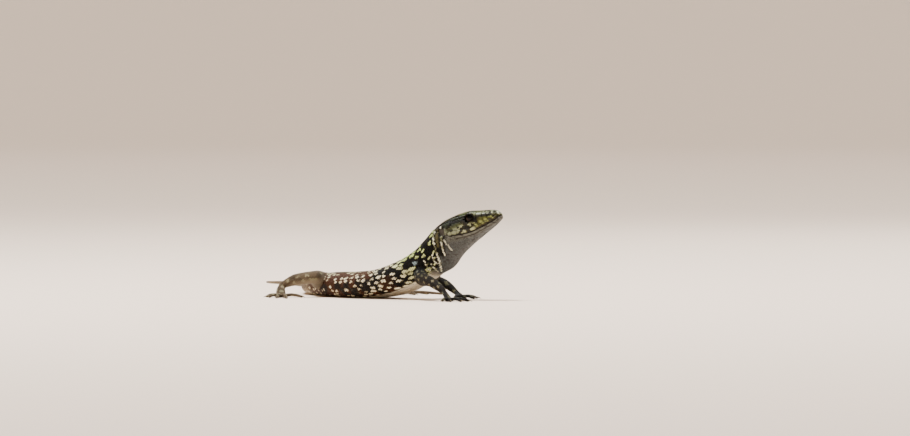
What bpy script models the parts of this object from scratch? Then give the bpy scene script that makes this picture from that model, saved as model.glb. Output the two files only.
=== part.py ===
"""Italian wall lizard, life size, resting with its head and neck raised.

Frame: metres, +Z up, +X the way the trunk faces, +Y its left. The origin lies on the floor under the
middle of the belly. Lengths below are millimetres, and stations are distances along the spine from the
tip of the snout, back over the head, neck and trunk, to the tip of the tail.
"""

import math

import bmesh
import bpy
import numpy as np
from mathutils import Vector

MM = 0.001
GAP = 0.3  # between neighbouring pieces

# --- stations along the spine ---
HEAD_END = 17.5
NECK_END = 25.0
VENT = 71.0
TAIL_TIP = 196.0
TAIL_CUTS = (VENT, 94.0, 122.0, 155.0, TAIL_TIP)
ORIGIN_STATION = 46.0

SNOUT_HEIGHT = 21.06
HEAD_PITCH = 20.0  # degrees, snout up
BEND_BLEND = 1.8  # how far the bend between the head's tilt and the neck's is softened

# --- profiles: (station, value) pairs, joined by a smooth curve that never overshoots ---
# Way the spine faces, degrees from +X towards +Y.
YAW = [(0, 22), (17.5, 22), (23, 17), (30, 9), (40, 0), (54, -10), (71, -19), (87, -35), (102, -42),
       (130, -38), (160, -28), (196, -17)]
# Height of the line that each section is measured from: the mouth line, and the middle of the trunk.
AXIS_HEIGHT = [(17.5, 15.07), (20, 13.4), (23, 11.35), (26.5, 8.95), (30, 6.95), (34, 5.3), (40, 3.95),
               (47, 3.3), (61, 3.1), (71, 2.75), (87, 2.2), (102, 1.8), (130, 1.2), (160, 0.75),
               (196, 0.3)]
HALF_WIDTH = [(0, 0.5), (0.4, 1.25), (1.2, 1.85), (2.5, 2.5), (5, 3.5), (7.9, 4.4), (10.5, 5.0),
              (13.5, 5.6), (16, 5.45), (20, 4.9), (23, 4.8), (26.5, 5.4), (34, 7.1), (47, 8.0),
              (54, 7.6), (61, 6.2), (66, 5.1), (71, 4.3), (77, 3.75), (87, 3.0), (102, 2.35),
              (130, 1.6), (160, 0.98), (196, 0.28)]
ABOVE = [(0, 0.55), (0.4, 1.3), (1.2, 1.95), (2.5, 2.45), (5, 3.2), (7.9, 4.0), (10.5, 4.15),
         (13.5, 4.0), (17.5, 3.3), (20, 2.85), (23, 2.75), (26.5, 3.1), (30, 3.5), (34, 3.7), (40, 3.55),
         (47, 3.35), (61, 3.2), (71, 2.9), (87, 2.4), (102, 2.0), (130, 1.45), (160, 0.92), (196, 0.28)]
BELOW = [(0, 0.35), (0.4, 0.85), (1.2, 1.2), (2.5, 1.7), (5, 2.4), (7.9, 3.2), (10.5, 4.0),
         (13.5, 5.1), (17.5, 6.8), (20, 7.1), (23, 6.4), (26.5, 5.4), (30, 4.6), (34, 4.1), (40, 3.7),
         (47, 3.48), (61, 3.28), (71, 2.95), (87, 2.34), (102, 1.92), (130, 1.32), (160, 0.86),
         (196, 0.33)]
# Exponent of each half section: 2 is an ellipse, and more is squarer.
TOP_SQUARE = [(0, 2.2), (2.5, 2.9), (7, 3.5), (13.5, 2.9), (17.5, 2.3), (23, 2.1), (40, 2.2),
              (71, 2.1), (87, 2.0), (196, 2.0)]
UNDER_SQUARE = [(0, 2.2), (13.5, 2.2), (20, 2.0), (34, 2.3), (54, 2.4), (71, 2.2), (87, 2.0), (196, 2.0)]

# --- head, in its own axes: back from the snout, out from the middle, up from the mouth line ---
EYE_BACK, EYE_OUT, EYE_UP = 7.05, 2.62, 1.8
EYE_RADIUS = 1.55
EAR_BACK, EAR_UP = 14.9, 0.9
EAR_RADIUS = 1.05
EAR_TALL = 1.25  # the ear's height over its width
EAR_DEPTH = 1.1
EAR_DRUM = 0.5  # thickness of the eardrum
EAR_OVERRUN = 2.0  # how far the ear's cutter reaches outside the head
MOUTH = [
    (-2, 0.2), (0.4, -0.15), (1.5, -0.6), (3.0, -0.9), (5.0, -1.25), (7.5, -1.5), (9.5, -1.35), (12.8, -0.8),
]
JAW_CORNER = (14.2, -1.6)  # behind the gape, where the jaw's own edge turns down
JAW_FLOOR = -12.0  # lower than the throat anywhere
JAW_SPAN = 12.0  # half width of the cutters for the jaw, wider than the head

# --- limbs: joints (x, y, z) and the radius at each, from inside the body outwards ---
RIGHT_ARM = [((20.3, -0.8, 6.5), 2.2), ((24.8, -4.0, 5.3), 1.85), ((29.6, -5.8, 4.9), 1.45),
             ((33.2, -6.4, 3.9), 1.3), ((36.2, -6.6, 2.5), 0.9)]
LEFT_ARM = [((18.5, 4.4, 7.2), 2.2), ((15.8, 7.6, 6.2), 1.75), ((12.9, 10.0, 4.9), 1.35),
            ((15.2, 11.8, 3.5), 1.25), ((17.8, 12.8, 1.6), 0.85)]
RIGHT_LEG = [((-19.6, 1.8, 3.4), 2.6), ((-16.4, -3.6, 4.3), 2.4), ((-12.7, -7.8, 5.1), 1.75),
             ((-16.8, -10.2, 4.5), 1.6), ((-20.9, -12.0, 2.9), 0.95)]
LEFT_LEG = [((-19.0, 7.0, 3.4), 2.6), ((-14.6, 10.8, 4.1), 2.4), ((-10.6, 13.6, 4.7), 1.75),
            ((-15.2, 16.8, 3.7), 1.6), ((-19.4, 19.6, 1.9), 0.95)]
LIMB_OVAL = 0.92  # a limb is a little deeper than it is wide
INNER_END = 0.8  # the forearm or shank starts this much thinner, inside the elbow or knee

# --- hands and feet: digits as (turn in degrees from the palm's own direction, length) ---
FINGERS = [(62, 2.7), (30, 4.1), (6, 5.2), (-16, 5.3), (-46, 3.6)]
TOES = [(44, 3.1), (22, 5.2), (4, 8.2), (-8, 11.2), (-52, 5.6)]
PALM = (3.0, 1.35, 0.75)  # length, half width, half thickness
SOLE = (5.2, 1.55, 0.85)
# Along a palm or sole: (share of its length, share of its width, share of its thickness).
PALM_SHAPE = ((0, 0.55, 0.9), (0.3, 0.8, 1.0), (0.7, 1.0, 0.95), (1.0, 0.85, 0.6))
PALM_SINK = 0.08  # how far the palm's round underside goes below the floor, to be cut flat
HEEL_RISE = 0.5  # height that the heel's middle falls to from the wrist
DIGIT_RADIUS = 0.46
DIGIT_SHAPE = ((0.0, 1.0), (0.35, 0.95), (0.7, 0.85), (1.0, 0.72))  # (share of length, share of radius)
DIGIT_ROOT = 0.5  # length of a digit inside the palm
DIGIT_START = 0.8  # how far along the palm the digits start, as a share of its length
DIGIT_SPREAD = (0.75, 0.375)  # first digit's place across the palm, and the step to the next
DIGIT_SINK = 0.04
CLAW_LENGTH = 1.15
CLAW_SHAPE = ((0.35, 0.6), (1.0, 0.2))
CLAW_ARCH = 0.12
CLAW_NARROW = 0.8
KNUCKLE_RISE = 0.35  # how far a digit arches off the floor
HAND_TURN = {"right_arm": 0.0, "left_arm": -6.0, "right_leg": -42.0, "left_leg": 62.0}

# --- facets: sides of each kind of ring, and rings along each piece ---
BODY_SIDES, TAIL_SIDES, CLEARANCE_SIDES = 26, 14, 36
SNOUT_RINGS = (0, 0.25, 0.7, 1.4, 2.3)
SKULL_START, SKULL_RINGS = 3.6, 12
NECK_RINGS, TRUNK_RINGS, TAIL_RINGS = 6, 22, 9
CLEARANCE_SPAN, CLEARANCE_RINGS = (9.0, 112.0), 70  # the grown body that limbs are cut back by
EAR_SIDES, LIMB_SIDES, DIGIT_SIDES = 16, 10, 6
LIMB_RINGS = 6
LIMB_END_TURNS = (38, 76)  # degrees round a limb's rounded end
BALL_SEGMENTS, BALL_RINGS = 16, 10
SHARP_EDGE = 40  # degrees

# --- colours, linear, and roughness ---
COLOURS = {
    "scales_olive": ((0.16, 0.17, 0.06), 0.55),
    "scales_spotted": ((0.10, 0.10, 0.045), 0.55),
    "throat_grey": ((0.22, 0.21, 0.17), 0.6),
    "limb_brown": ((0.14, 0.10, 0.06), 0.6),
    "eye": ((0.01, 0.008, 0.006), 0.1),
    "eardrum": ((0.05, 0.045, 0.035), 0.5),
}


# --- curves ---
def smooth_curve(pairs):
    """A function through (position, value) pairs: cubic pieces whose slopes don't let it overshoot."""
    at = np.array([pair[0] for pair in pairs], float)
    value = np.array([pair[1] for pair in pairs], float)
    step = np.diff(at)
    rise = np.diff(value) / step
    slope = np.zeros(len(at))
    slope[0], slope[-1] = rise[0], rise[-1]
    for i in range(1, len(at) - 1):
        if rise[i - 1] * rise[i] > 0:
            before, after = 2 * step[i] + step[i - 1], step[i] + 2 * step[i - 1]
            slope[i] = (before + after) / (before / rise[i - 1] + after / rise[i])

    def curve(x):
        x = np.clip(x, at[0], at[-1])
        i = np.clip(np.searchsorted(at, x) - 1, 0, len(step) - 1)
        t = (x - at[i]) / step[i]
        ends = (1 + 2 * t) * (1 - t) ** 2 * value[i] + t * t * (3 - 2 * t) * value[i + 1]
        return ends + step[i] * (t * (1 - t) ** 2 * slope[i] + t * t * (t - 1) * slope[i + 1])

    return curve


def unit(vectors):
    return vectors / np.linalg.norm(vectors, axis=-1, keepdims=True)


class Spine:
    """The line along the body and the oval section round each of its stations."""

    PITCH = 0.25  # spacing of the samples along it

    def __init__(self):
        self.at = np.arange(0, TAIL_TIP + self.PITCH, self.PITCH)
        rise = math.sin(math.radians(HEAD_PITCH))
        height = np.where(
            self.at < HEAD_END, SNOUT_HEIGHT - rise * self.at, smooth_curve(AXIS_HEIGHT)(self.at)
        )
        level = np.sqrt(1 - np.gradient(height, self.at) ** 2)
        yaw = np.radians(smooth_curve(YAW)(self.at))
        steps = -np.stack([np.cos(yaw) * level, np.sin(yaw) * level], axis=1) * self.PITCH
        path = np.cumsum(steps, axis=0) - steps / 2
        self.points = self.eased(np.column_stack([path, height]))
        self.points[:, :2] -= self.points[int(ORIGIN_STATION / self.PITCH), :2]
        self.forward = unit(-np.gradient(self.points, self.at, axis=0))
        left = np.cross([0, 0, 1], self.forward)
        self.left = unit(left)
        self.up = np.cross(self.forward, self.left)
        self.half_width = smooth_curve(HALF_WIDTH)
        self.above = smooth_curve(ABOVE)
        self.below = smooth_curve(BELOW)
        self.top_square = smooth_curve(TOP_SQUARE)
        self.under_square = smooth_curve(UNDER_SQUARE)

    def eased(self, points):
        """The line with its bends softened, so that the sections don't cross at the throat."""
        reach = int(3 * BEND_BLEND / self.PITCH)
        weight = np.exp(-0.5 * (np.arange(-reach, reach + 1) * self.PITCH / BEND_BLEND) ** 2)
        padded = np.pad(points, ((reach, reach), (0, 0)), mode="reflect", reflect_type="odd")
        columns = [np.convolve(padded[:, k], weight / weight.sum(), mode="valid") for k in range(3)]
        return np.stack(columns, axis=1)

    def frame(self, station):
        """The point, forward, left and up directions at a station."""
        return [
            np.array([np.interp(station, self.at, data[:, k]) for k in range(3)])
            for data in (self.points, self.forward, self.left, self.up)
        ]

    def section(self, station, sides, lift=0.0):
        """A ring of points round the body, `lift` outside its surface."""
        point, _, left, up = self.frame(station)
        ring = []
        for i in range(sides):
            angle = 2 * math.pi * i / sides
            out, rise = math.sin(angle), math.cos(angle)
            top = rise >= 0
            power = 2 / (self.top_square if top else self.under_square)(station)
            tall = (self.above if top else self.below)(station) + lift
            wide = self.half_width(station) + lift
            ring.append(
                point
                + left * wide * math.copysign(abs(out) ** power, out)
                + up * tall * math.copysign(abs(rise) ** power, rise)
            )
        return ring


SPINE = Spine()


def in_head(back, out, up):
    """A place in the head's own axes, in the row's frame."""
    point, forward, left, above = SPINE.frame(0.0)
    return point - forward * back + left * out + above * up


# --- meshes ---
def material(name):
    found = bpy.data.materials.get(name)
    if found:
        return found
    colour, roughness = COLOURS[name]
    made = bpy.data.materials.new(name)
    made.use_nodes = True
    surface = made.node_tree.nodes["Principled BSDF"]
    surface.inputs["Base Color"].default_value = (*colour, 1.0)
    surface.inputs["Roughness"].default_value = roughness
    surface.inputs["Metallic"].default_value = 0.0
    return made


def add_object(name, mesh, collection, finish=None):
    obj = bpy.data.objects.new(name, mesh)
    collection.objects.link(obj)
    if finish:
        mesh.materials.clear()
        mesh.materials.append(material(finish))
    mesh.shade_smooth()
    mesh.set_sharp_from_angle(angle=math.radians(SHARP_EDGE))
    return obj


def loft(rings):
    """A closed mesh through unlike rings of equal counts, in metres, with flat ends."""
    made = bmesh.new()
    loops = [[made.verts.new(Vector(point) * MM) for point in ring] for ring in rings]
    for first, second in zip(loops, loops[1:]):
        for i in range(len(first)):
            j = (i + 1) % len(first)
            made.faces.new((first[i], first[j], second[j], second[i]))
    made.faces.new(loops[0])
    made.faces.new(loops[-1])
    bmesh.ops.recalc_face_normals(made, faces=made.faces)
    mesh = bpy.data.meshes.new("loft")
    made.to_mesh(mesh)
    made.free()
    return mesh


def body_loft(start, end, count, sides, lift=0.0):
    return loft([SPINE.section(station, sides, lift) for station in np.linspace(start, end, count)])


def prism(outline, half_width):
    """A closed mesh of an outline in the head's side view, extruded to both sides of the head."""
    return loft([[in_head(back, out, up) for back, up in outline] for out in (-half_width, half_width)])


def ball(radius):
    made = bmesh.new()
    bmesh.ops.create_uvsphere(
        made, u_segments=BALL_SEGMENTS, v_segments=BALL_RINGS, radius=radius * MM
    )
    mesh = bpy.data.meshes.new("ball")
    made.to_mesh(mesh)
    made.free()
    return mesh


def boolean(obj, other, operation):
    """Adds a Boolean modifier with another object, which becomes a hidden cutter unless it is joined."""
    modifier = obj.modifiers.new(operation.lower(), "BOOLEAN")
    modifier.solver = "EXACT"
    modifier.operation = operation
    modifier.object = other
    return modifier


class Builder:
    def __init__(self):
        for old in list(bpy.data.objects):
            bpy.data.objects.remove(old)
        self.parts = self.collection("wall_lizard")
        self.cutters = self.collection("cutters")
        self.floor = self.cutter("floor", self.box_below_floor())
        grown = body_loft(*CLEARANCE_SPAN, CLEARANCE_RINGS, CLEARANCE_SIDES, GAP)
        self.grown_body = self.cutter("grown_body", grown)

    @staticmethod
    def collection(name):
        made = bpy.data.collections.new(name)
        bpy.context.scene.collection.children.link(made)
        return made

    @staticmethod
    def box_below_floor():
        made = bmesh.new()
        bmesh.ops.create_cube(made, size=1.0)
        bmesh.ops.translate(made, verts=made.verts, vec=(0, 0, -0.5))
        mesh = bpy.data.meshes.new("floor")
        made.to_mesh(mesh)
        made.free()
        return mesh

    def cutter(self, name, mesh):
        obj = add_object(name, mesh, self.cutters)
        obj.hide_render = True
        obj.display_type = "WIRE"
        return obj

    def part(self, name, mesh, finish):
        return add_object(name, mesh, self.parts, finish)

    def rest_on_floor(self, obj):
        """Cuts off what would sink into the floor, which leaves a small flat."""
        boolean(obj, self.floor, "DIFFERENCE")

    # --- head ---
    def head(self):
        skull = np.linspace(SKULL_START, HEAD_END - GAP / 2, SKULL_RINGS)
        rings = [SPINE.section(station, BODY_SIDES) for station in (*SNOUT_RINGS, *skull)]
        cranium = self.part("head", loft(rings), "scales_olive")
        jaw = self.part("lower_jaw", loft(rings), "throat_grey")
        boolean(jaw, self.cutter("jaw_space", prism(self.jaw_outline(0.0), JAW_SPAN)), "INTERSECT")
        boolean(cranium, self.cutter("gape", prism(self.jaw_outline(GAP), JAW_SPAN)), "DIFFERENCE")
        for side, name in ((1, "left"), (-1, "right")):
            place = Vector(in_head(EYE_BACK, side * EYE_OUT, EYE_UP)) * MM
            socket = self.cutter("socket_" + name, ball(EYE_RADIUS + GAP))
            socket.location = place
            boolean(cranium, socket, "DIFFERENCE")
            self.part("eye_" + name, ball(EYE_RADIUS), "eye").location = place
            self.ear(cranium, side, name)

    @staticmethod
    def jaw_outline(grow):
        """The lower jaw's region in side view: under the mouth line and ahead of the jaw's joint."""
        top = [(back, up + grow) for back, up in MOUTH]
        corner = (JAW_CORNER[0] + grow, JAW_CORNER[1] + grow)
        return [*top, corner, (JAW_CORNER[0] + grow, JAW_FLOOR), (MOUTH[0][0], JAW_FLOOR)]

    def ear(self, cranium, side, name):
        """A shallow round recess with the eardrum on its floor."""
        surface = float(SPINE.half_width(EAR_BACK))

        def disc(radius, inner, outer):
            rings = []
            for out in (inner, outer):
                ring = []
                for i in range(EAR_SIDES):
                    angle = 2 * math.pi * i / EAR_SIDES
                    back = EAR_BACK + radius * math.cos(angle)
                    up = EAR_UP + EAR_TALL * radius * math.sin(angle)
                    ring.append(in_head(back, side * out, up))
                rings.append(ring)
            return loft(rings)

        floor = surface - EAR_DEPTH
        recess = self.cutter("recess_" + name, disc(EAR_RADIUS, floor, surface + EAR_OVERRUN))
        boolean(cranium, recess, "DIFFERENCE")
        drum = disc(EAR_RADIUS - GAP, floor + GAP, floor + GAP + EAR_DRUM)
        self.part("eardrum_" + name, drum, "eardrum")

    # --- neck, trunk and tail ---
    def body(self):
        half = GAP / 2
        neck = body_loft(HEAD_END + half, NECK_END - half, NECK_RINGS, BODY_SIDES)
        self.part("neck", neck, "scales_spotted")
        trunk = body_loft(NECK_END + half, VENT - half, TRUNK_RINGS, BODY_SIDES)
        self.rest_on_floor(self.part("trunk", trunk, "scales_spotted"))
        names = ("tail_base", "tail_front", "tail_middle", "tail_end")
        for name, start, end in zip(names, TAIL_CUTS, TAIL_CUTS[1:]):
            piece = body_loft(start + half, end - half, TAIL_RINGS, TAIL_SIDES)
            self.rest_on_floor(self.part(name, piece, "limb_brown"))

    # --- limbs ---
    def limb(self, name, joints, upper_name, lower_name):
        """The two lengths of a limb; the elbow or knee is its middle joint."""
        middle = len(joints) // 2
        bend, radius = joints[middle]
        upper = joints[: middle + 1]
        lower = [(bend, radius * INNER_END), *joints[middle + 1 :]]
        first = self.part(f"{name}_{upper_name}", tube(upper), "limb_brown")
        boolean(first, self.grown_body, "DIFFERENCE")
        second = self.part(f"{name}_{lower_name}", tube(lower), "limb_brown")
        boolean(second, self.grown_body, "DIFFERENCE")
        boolean(second, self.cutter(f"{name}_{upper_name}_clearance", tube(upper, GAP)), "DIFFERENCE")
        return self.cutter(f"{name}_{lower_name}_clearance", tube(lower, GAP))

    def hand(self, name, wrist, clearance, turn, palm, digits, mirrored, piece_name):
        """A flat palm or sole on the floor with its five digits and their claws."""
        length, half_width, half_thick = palm
        ahead = level_heading(turn)
        start = wrist - ahead * GAP
        rings = []
        for share, wide, thick in PALM_SHAPE:
            centre = start + ahead * length * share
            falling = wrist[2] * (1 - share) + HEEL_RISE * share
            centre[2] = half_thick * thick - PALM_SINK if share > 0.5 else falling
            rings.append(flat_ring(centre, ahead, half_width * wide, half_thick * thick, LIMB_SIDES))
        piece = self.part(f"{name}_{piece_name}", loft(rings), "limb_brown")
        front = start + ahead * length * DIGIT_START
        across = np.array([-ahead[1], ahead[0], 0.0]) * (-1 if mirrored else 1)
        first, step = DIGIT_SPREAD
        for i, (spread, reach) in enumerate(digits):
            along = level_heading(turn + (-spread if mirrored else spread))
            base = front + across * half_width * (first - step * i) - along * DIGIT_ROOT
            finger = self.cutter(f"{name}_digit_{i}", digit_mesh(base, along, reach))
            boolean(piece, finger, "UNION")
        boolean(piece, clearance, "DIFFERENCE")
        self.rest_on_floor(piece)

    def limbs(self):
        arm = (("upper", "forearm"), PALM, FINGERS, "hand")
        leg = (("thigh", "shank"), SOLE, TOES, "foot")
        for name, joints, (lengths, palm, digits, end) in (
            ("right_arm", RIGHT_ARM, arm),
            ("left_arm", LEFT_ARM, arm),
            ("right_leg", RIGHT_LEG, leg),
            ("left_leg", LEFT_LEG, leg),
        ):
            clearance = self.limb(name, joints, *lengths)
            mirrored = name.startswith("right")
            self.hand(name, joints[-1][0], clearance, HAND_TURN[name], palm, digits, mirrored, end)


def level_heading(degrees):
    return np.array([math.cos(math.radians(degrees)), math.sin(math.radians(degrees)), 0.0])


def tube(joints, grow=0.0):
    """A limb's length: smooth through its joints, oval across, with rounded ends."""
    points = np.array([joint[0] for joint in joints], float)
    steps = np.linalg.norm(np.diff(points, axis=0), axis=1)
    at = np.concatenate([[0], np.cumsum(steps)])
    curves = [smooth_curve(list(zip(at, points[:, k]))) for k in range(3)]
    radius = smooth_curve([(place, joint[1]) for place, joint in zip(at, joints)])
    stations = np.linspace(0, at[-1], LIMB_RINGS)
    path = np.array([[curve(station) for curve in curves] for station in stations])
    ways = unit(np.gradient(path, stations, axis=0))
    rings = [oval(point, radius(x) + grow, way) for point, x, way in zip(path, stations, ways)]
    start = rounded_end(path[0], radius(0) + grow, -ways[0], ways[0])
    end = rounded_end(path[-1], radius(at[-1]) + grow, ways[-1], ways[-1])
    return loft(start[::-1] + rings + end)


def rounded_end(point, radius, outwards, way):
    """Ever smaller rings beyond the end of a limb's length."""
    rings = []
    for turn in LIMB_END_TURNS:
        angle = math.radians(turn)
        rings.append(oval(point + outwards * radius * math.sin(angle), radius * math.cos(angle), way))
    return rings


def oval(point, radius, direction):
    """A ring across a limb, a little deeper than wide."""
    side = unit(np.cross([0, 0, 1], direction))
    up = np.cross(direction, side)
    return ring_points(point, side * radius * LIMB_OVAL, up * radius, LIMB_SIDES)


def ring_points(centre, sideways, upwards, sides):
    angles = [2 * math.pi * i / sides for i in range(sides)]
    return [centre + sideways * math.sin(angle) + upwards * math.cos(angle) for angle in angles]


def flat_ring(centre, ahead, half_width, half_thick, sides):
    across = np.array([-ahead[1], ahead[0], 0.0])
    up = np.array([0.0, 0.0, 1.0])
    return ring_points(centre, across * half_width, up * half_thick, sides)


def digit_mesh(base, along, reach):
    """One digit: a tapering tube that arches off the floor, and a claw hooked down to it."""
    rings = []
    for share, size in DIGIT_SHAPE:
        radius = DIGIT_RADIUS * size
        centre = base + along * (DIGIT_ROOT + reach) * share
        centre[2] = radius - DIGIT_SINK + KNUCKLE_RISE * math.sin(math.pi * share)
        rings.append(flat_ring(centre, along, radius, radius, DIGIT_SIDES))
    tip = base + along * (DIGIT_ROOT + reach)
    for share, size in CLAW_SHAPE:
        radius = DIGIT_RADIUS * size
        centre = tip + along * CLAW_LENGTH * share
        centre[2] = radius - DIGIT_SINK + CLAW_ARCH * (1 - share)
        rings.append(flat_ring(centre, along, radius * CLAW_NARROW, radius, DIGIT_SIDES))
    return loft(rings)


def main():
    builder = Builder()
    builder.head()
    builder.body()
    builder.limbs()


main()
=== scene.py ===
"""The looks of a life-size wall lizard: skin, scales, head plates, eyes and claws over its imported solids.

Lengths are millimetres until a mesh is stored. A station is a distance along the spine from the snout's
tip, an angle goes round the body from the middle of the back, and positive angles are the animal's left.
"""

import math

import bmesh
import bpy
import numpy as np
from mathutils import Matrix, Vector
from mathutils.bvhtree import BVHTree
from mathutils.kdtree import KDTree


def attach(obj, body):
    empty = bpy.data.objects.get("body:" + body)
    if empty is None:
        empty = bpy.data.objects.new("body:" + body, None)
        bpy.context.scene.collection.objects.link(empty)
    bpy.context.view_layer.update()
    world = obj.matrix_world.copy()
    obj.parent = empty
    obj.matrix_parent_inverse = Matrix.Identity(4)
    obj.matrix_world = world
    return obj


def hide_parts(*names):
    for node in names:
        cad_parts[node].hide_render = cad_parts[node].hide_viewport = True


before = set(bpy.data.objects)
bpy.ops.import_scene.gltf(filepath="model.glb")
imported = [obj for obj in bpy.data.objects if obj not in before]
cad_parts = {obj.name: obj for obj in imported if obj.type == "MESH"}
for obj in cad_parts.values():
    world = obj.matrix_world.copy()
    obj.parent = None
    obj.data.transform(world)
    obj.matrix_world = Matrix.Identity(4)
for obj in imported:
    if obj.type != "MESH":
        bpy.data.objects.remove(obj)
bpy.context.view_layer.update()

MM = 0.001
COAT = 0.2  # the scales' depth over the skin
FLOOR_CLEAR = 0.12  # between the skin and the floor
SIDES = (1, -1)


# --- curves and small helpers ---
def smooth_curve(pairs):
    """A function through (position, value) pairs: cubic pieces whose slopes don't let it overshoot."""
    at, value = np.array(pairs, float).T
    step = np.diff(at)
    rise = np.diff(value) / step
    slope = np.zeros(len(at))
    slope[0], slope[-1] = rise[0], rise[-1]
    for i in range(1, len(at) - 1):
        if rise[i - 1] * rise[i] > 0:
            before, after = 2 * step[i] + step[i - 1], step[i] + 2 * step[i - 1]
            slope[i] = (before + after) / (before / rise[i - 1] + after / rise[i])

    def curve(x):
        x = np.clip(x, at[0], at[-1])
        i = np.clip(np.searchsorted(at, x) - 1, 0, len(step) - 1)
        t = (x - at[i]) / step[i]
        ends = (1 + 2 * t) * (1 - t) ** 2 * value[i] + t * t * (3 - 2 * t) * value[i + 1]
        return ends + step[i] * (t * (1 - t) ** 2 * slope[i] + t * t * (t - 1) * slope[i + 1])

    return curve


def unit(vectors):
    return vectors / np.maximum(np.linalg.norm(vectors, axis=-1, keepdims=True), 1e-12)


def columns(*parts):
    """Numbers and rows of numbers, side by side as the columns of one array."""
    return np.stack(np.broadcast_arrays(*parts), axis=-1)


def between(at, rows, x):
    """Rows of three numbers known at some places, read at each place x between them."""
    return columns(*(np.interp(x, at, rows[:, k]) for k in range(3)))


def run_lengths(points):
    """Distances along a line of points, from its first."""
    return np.append(0, np.cumsum(np.linalg.norm(np.diff(points, axis=0), axis=1)))


def turns_of(count, start=0.0):
    """Evenly spaced angles round a circle."""
    return 2 * math.pi * (np.arange(count) + start) / count


def off_floor(points, least=FLOOR_CLEAR):
    points[..., 2] = np.maximum(points[..., 2], least)
    return points


def tree_of(points):
    tree = KDTree(len(points))
    for i, point in enumerate(points.tolist()):
        tree.insert(point, i)
    tree.balance()
    return tree


def fade(low, high, x):
    """0 at low, 1 at high, smooth between; low may be the larger."""
    t = np.clip((np.asarray(x, float) - low) / (high - low), 0, 1)
    return t * t * (3 - 2 * t)


def blend(a, b, share):
    """Numbers a and b, blended by share."""
    return a + (b - a) * share


def mix(a, b, share):
    """Colours a and b, blended by a share for each place."""
    return blend(np.asarray(a, float), np.asarray(b, float), np.asarray(share, float)[..., None])


def hashed(*keys):
    """A fixed pseudo-random share from 0 to 1 for whole-number keys."""
    total = sum(np.asarray(key, float) * factor for key, factor in zip(keys, (127.1, 311.7, 74.7, 269.5)))
    return np.modf(np.abs(np.sin(total) * 43758.5453))[0]


def blotches(x, y, size, seed=0):
    """Smooth value noise from 0 to 1 over a plane, with patches about `size` across."""
    x, y = np.asarray(x, float) / size, np.asarray(y, float) / size
    i, j = np.floor(x), np.floor(y)
    u, v = fade(0, 1, x - i), fade(0, 1, y - j)
    near, far = (blend(hashed(i, row, seed), hashed(i + 1, row, seed), u) for row in (j, j + 1))
    return blend(near, far, v)


def paint(red, green, blue):
    """A colour given as on a screen, as linear light."""
    share = np.array([red, green, blue], float) / 255
    return np.where(share <= 0.04045, share / 12.92, ((share + 0.055) / 1.055) ** 2.4)


# --- the body's form, as the solids have it ---
HEAD_END, VENT, TAIL_TIP = 17.5, 71.0, 196.0
ORIGIN_STATION = 46.0
SNOUT_HEIGHT, HEAD_PITCH = 21.06, 20.0
BEND_BLEND = 1.8

YAW = smooth_curve([(0, 22), (17.5, 22), (23, 17), (30, 9), (40, 0), (54, -10), (71, -19), (87, -35),
                    (102, -42), (130, -38), (160, -28), (196, -17)])
AXIS_HEIGHT = smooth_curve([(17.5, 15.07), (20, 13.4), (23, 11.35), (26.5, 8.95), (30, 6.95), (34, 5.3),
                            (40, 3.95), (47, 3.3), (61, 3.1), (71, 2.75), (87, 2.2), (102, 1.8), (130, 1.2),
                            (160, 0.75), (196, 0.3)])
HALF_WIDTH = smooth_curve([(0, 0.5), (0.4, 1.25), (1.2, 1.85), (2.5, 2.5), (5, 3.5), (7.9, 4.4),
                           (10.5, 5.0), (13.5, 5.6), (16, 5.45), (20, 4.9), (23, 4.8), (26.5, 5.4),
                           (34, 7.1), (47, 8.0), (54, 7.6), (61, 6.2), (66, 5.1), (71, 4.3), (77, 3.75),
                           (87, 3.0), (102, 2.35), (130, 1.6), (160, 0.98), (196, 0.28)])
ABOVE = smooth_curve([(0, 0.55), (0.4, 1.3), (1.2, 1.95), (2.5, 2.45), (5, 3.2), (7.9, 4.0), (10.5, 4.15),
                      (13.5, 4.0), (17.5, 3.3), (20, 2.85), (23, 2.75), (26.5, 3.1), (30, 3.5), (34, 3.7),
                      (40, 3.55), (47, 3.35), (61, 3.2), (71, 2.9), (87, 2.4), (102, 2.0), (130, 1.45),
                      (160, 0.92), (196, 0.28)])
BELOW = smooth_curve([(0, 0.35), (0.4, 0.85), (1.2, 1.2), (2.5, 1.7), (5, 2.4), (7.9, 3.2), (10.5, 4.0),
                      (13.5, 5.1), (17.5, 6.8), (20, 7.1), (23, 6.4), (26.5, 5.4), (30, 4.6), (34, 4.1),
                      (40, 3.7), (47, 3.48), (61, 3.28), (71, 2.95), (87, 2.34), (102, 1.92), (130, 1.32),
                      (160, 0.86), (196, 0.33)])
TOP_SQUARE = smooth_curve([(0, 2.2), (2.5, 2.9), (7, 3.5), (13.5, 2.9), (17.5, 2.3), (23, 2.1), (40, 2.2),
                           (71, 2.1), (87, 2.0), (196, 2.0)])
UNDER_SQUARE = smooth_curve([(0, 2.2), (13.5, 2.2), (20, 2.0), (34, 2.3), (54, 2.4), (71, 2.2), (87, 2.0),
                             (196, 2.0)])
MOUTH = smooth_curve([(0, -0.1), (0.4, -0.15), (1.5, -0.6), (3.0, -0.9), (5.0, -1.25), (7.5, -1.5),
                      (9.5, -1.35), (12.8, -0.8)])
MOUTH_END = 12.8

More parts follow.
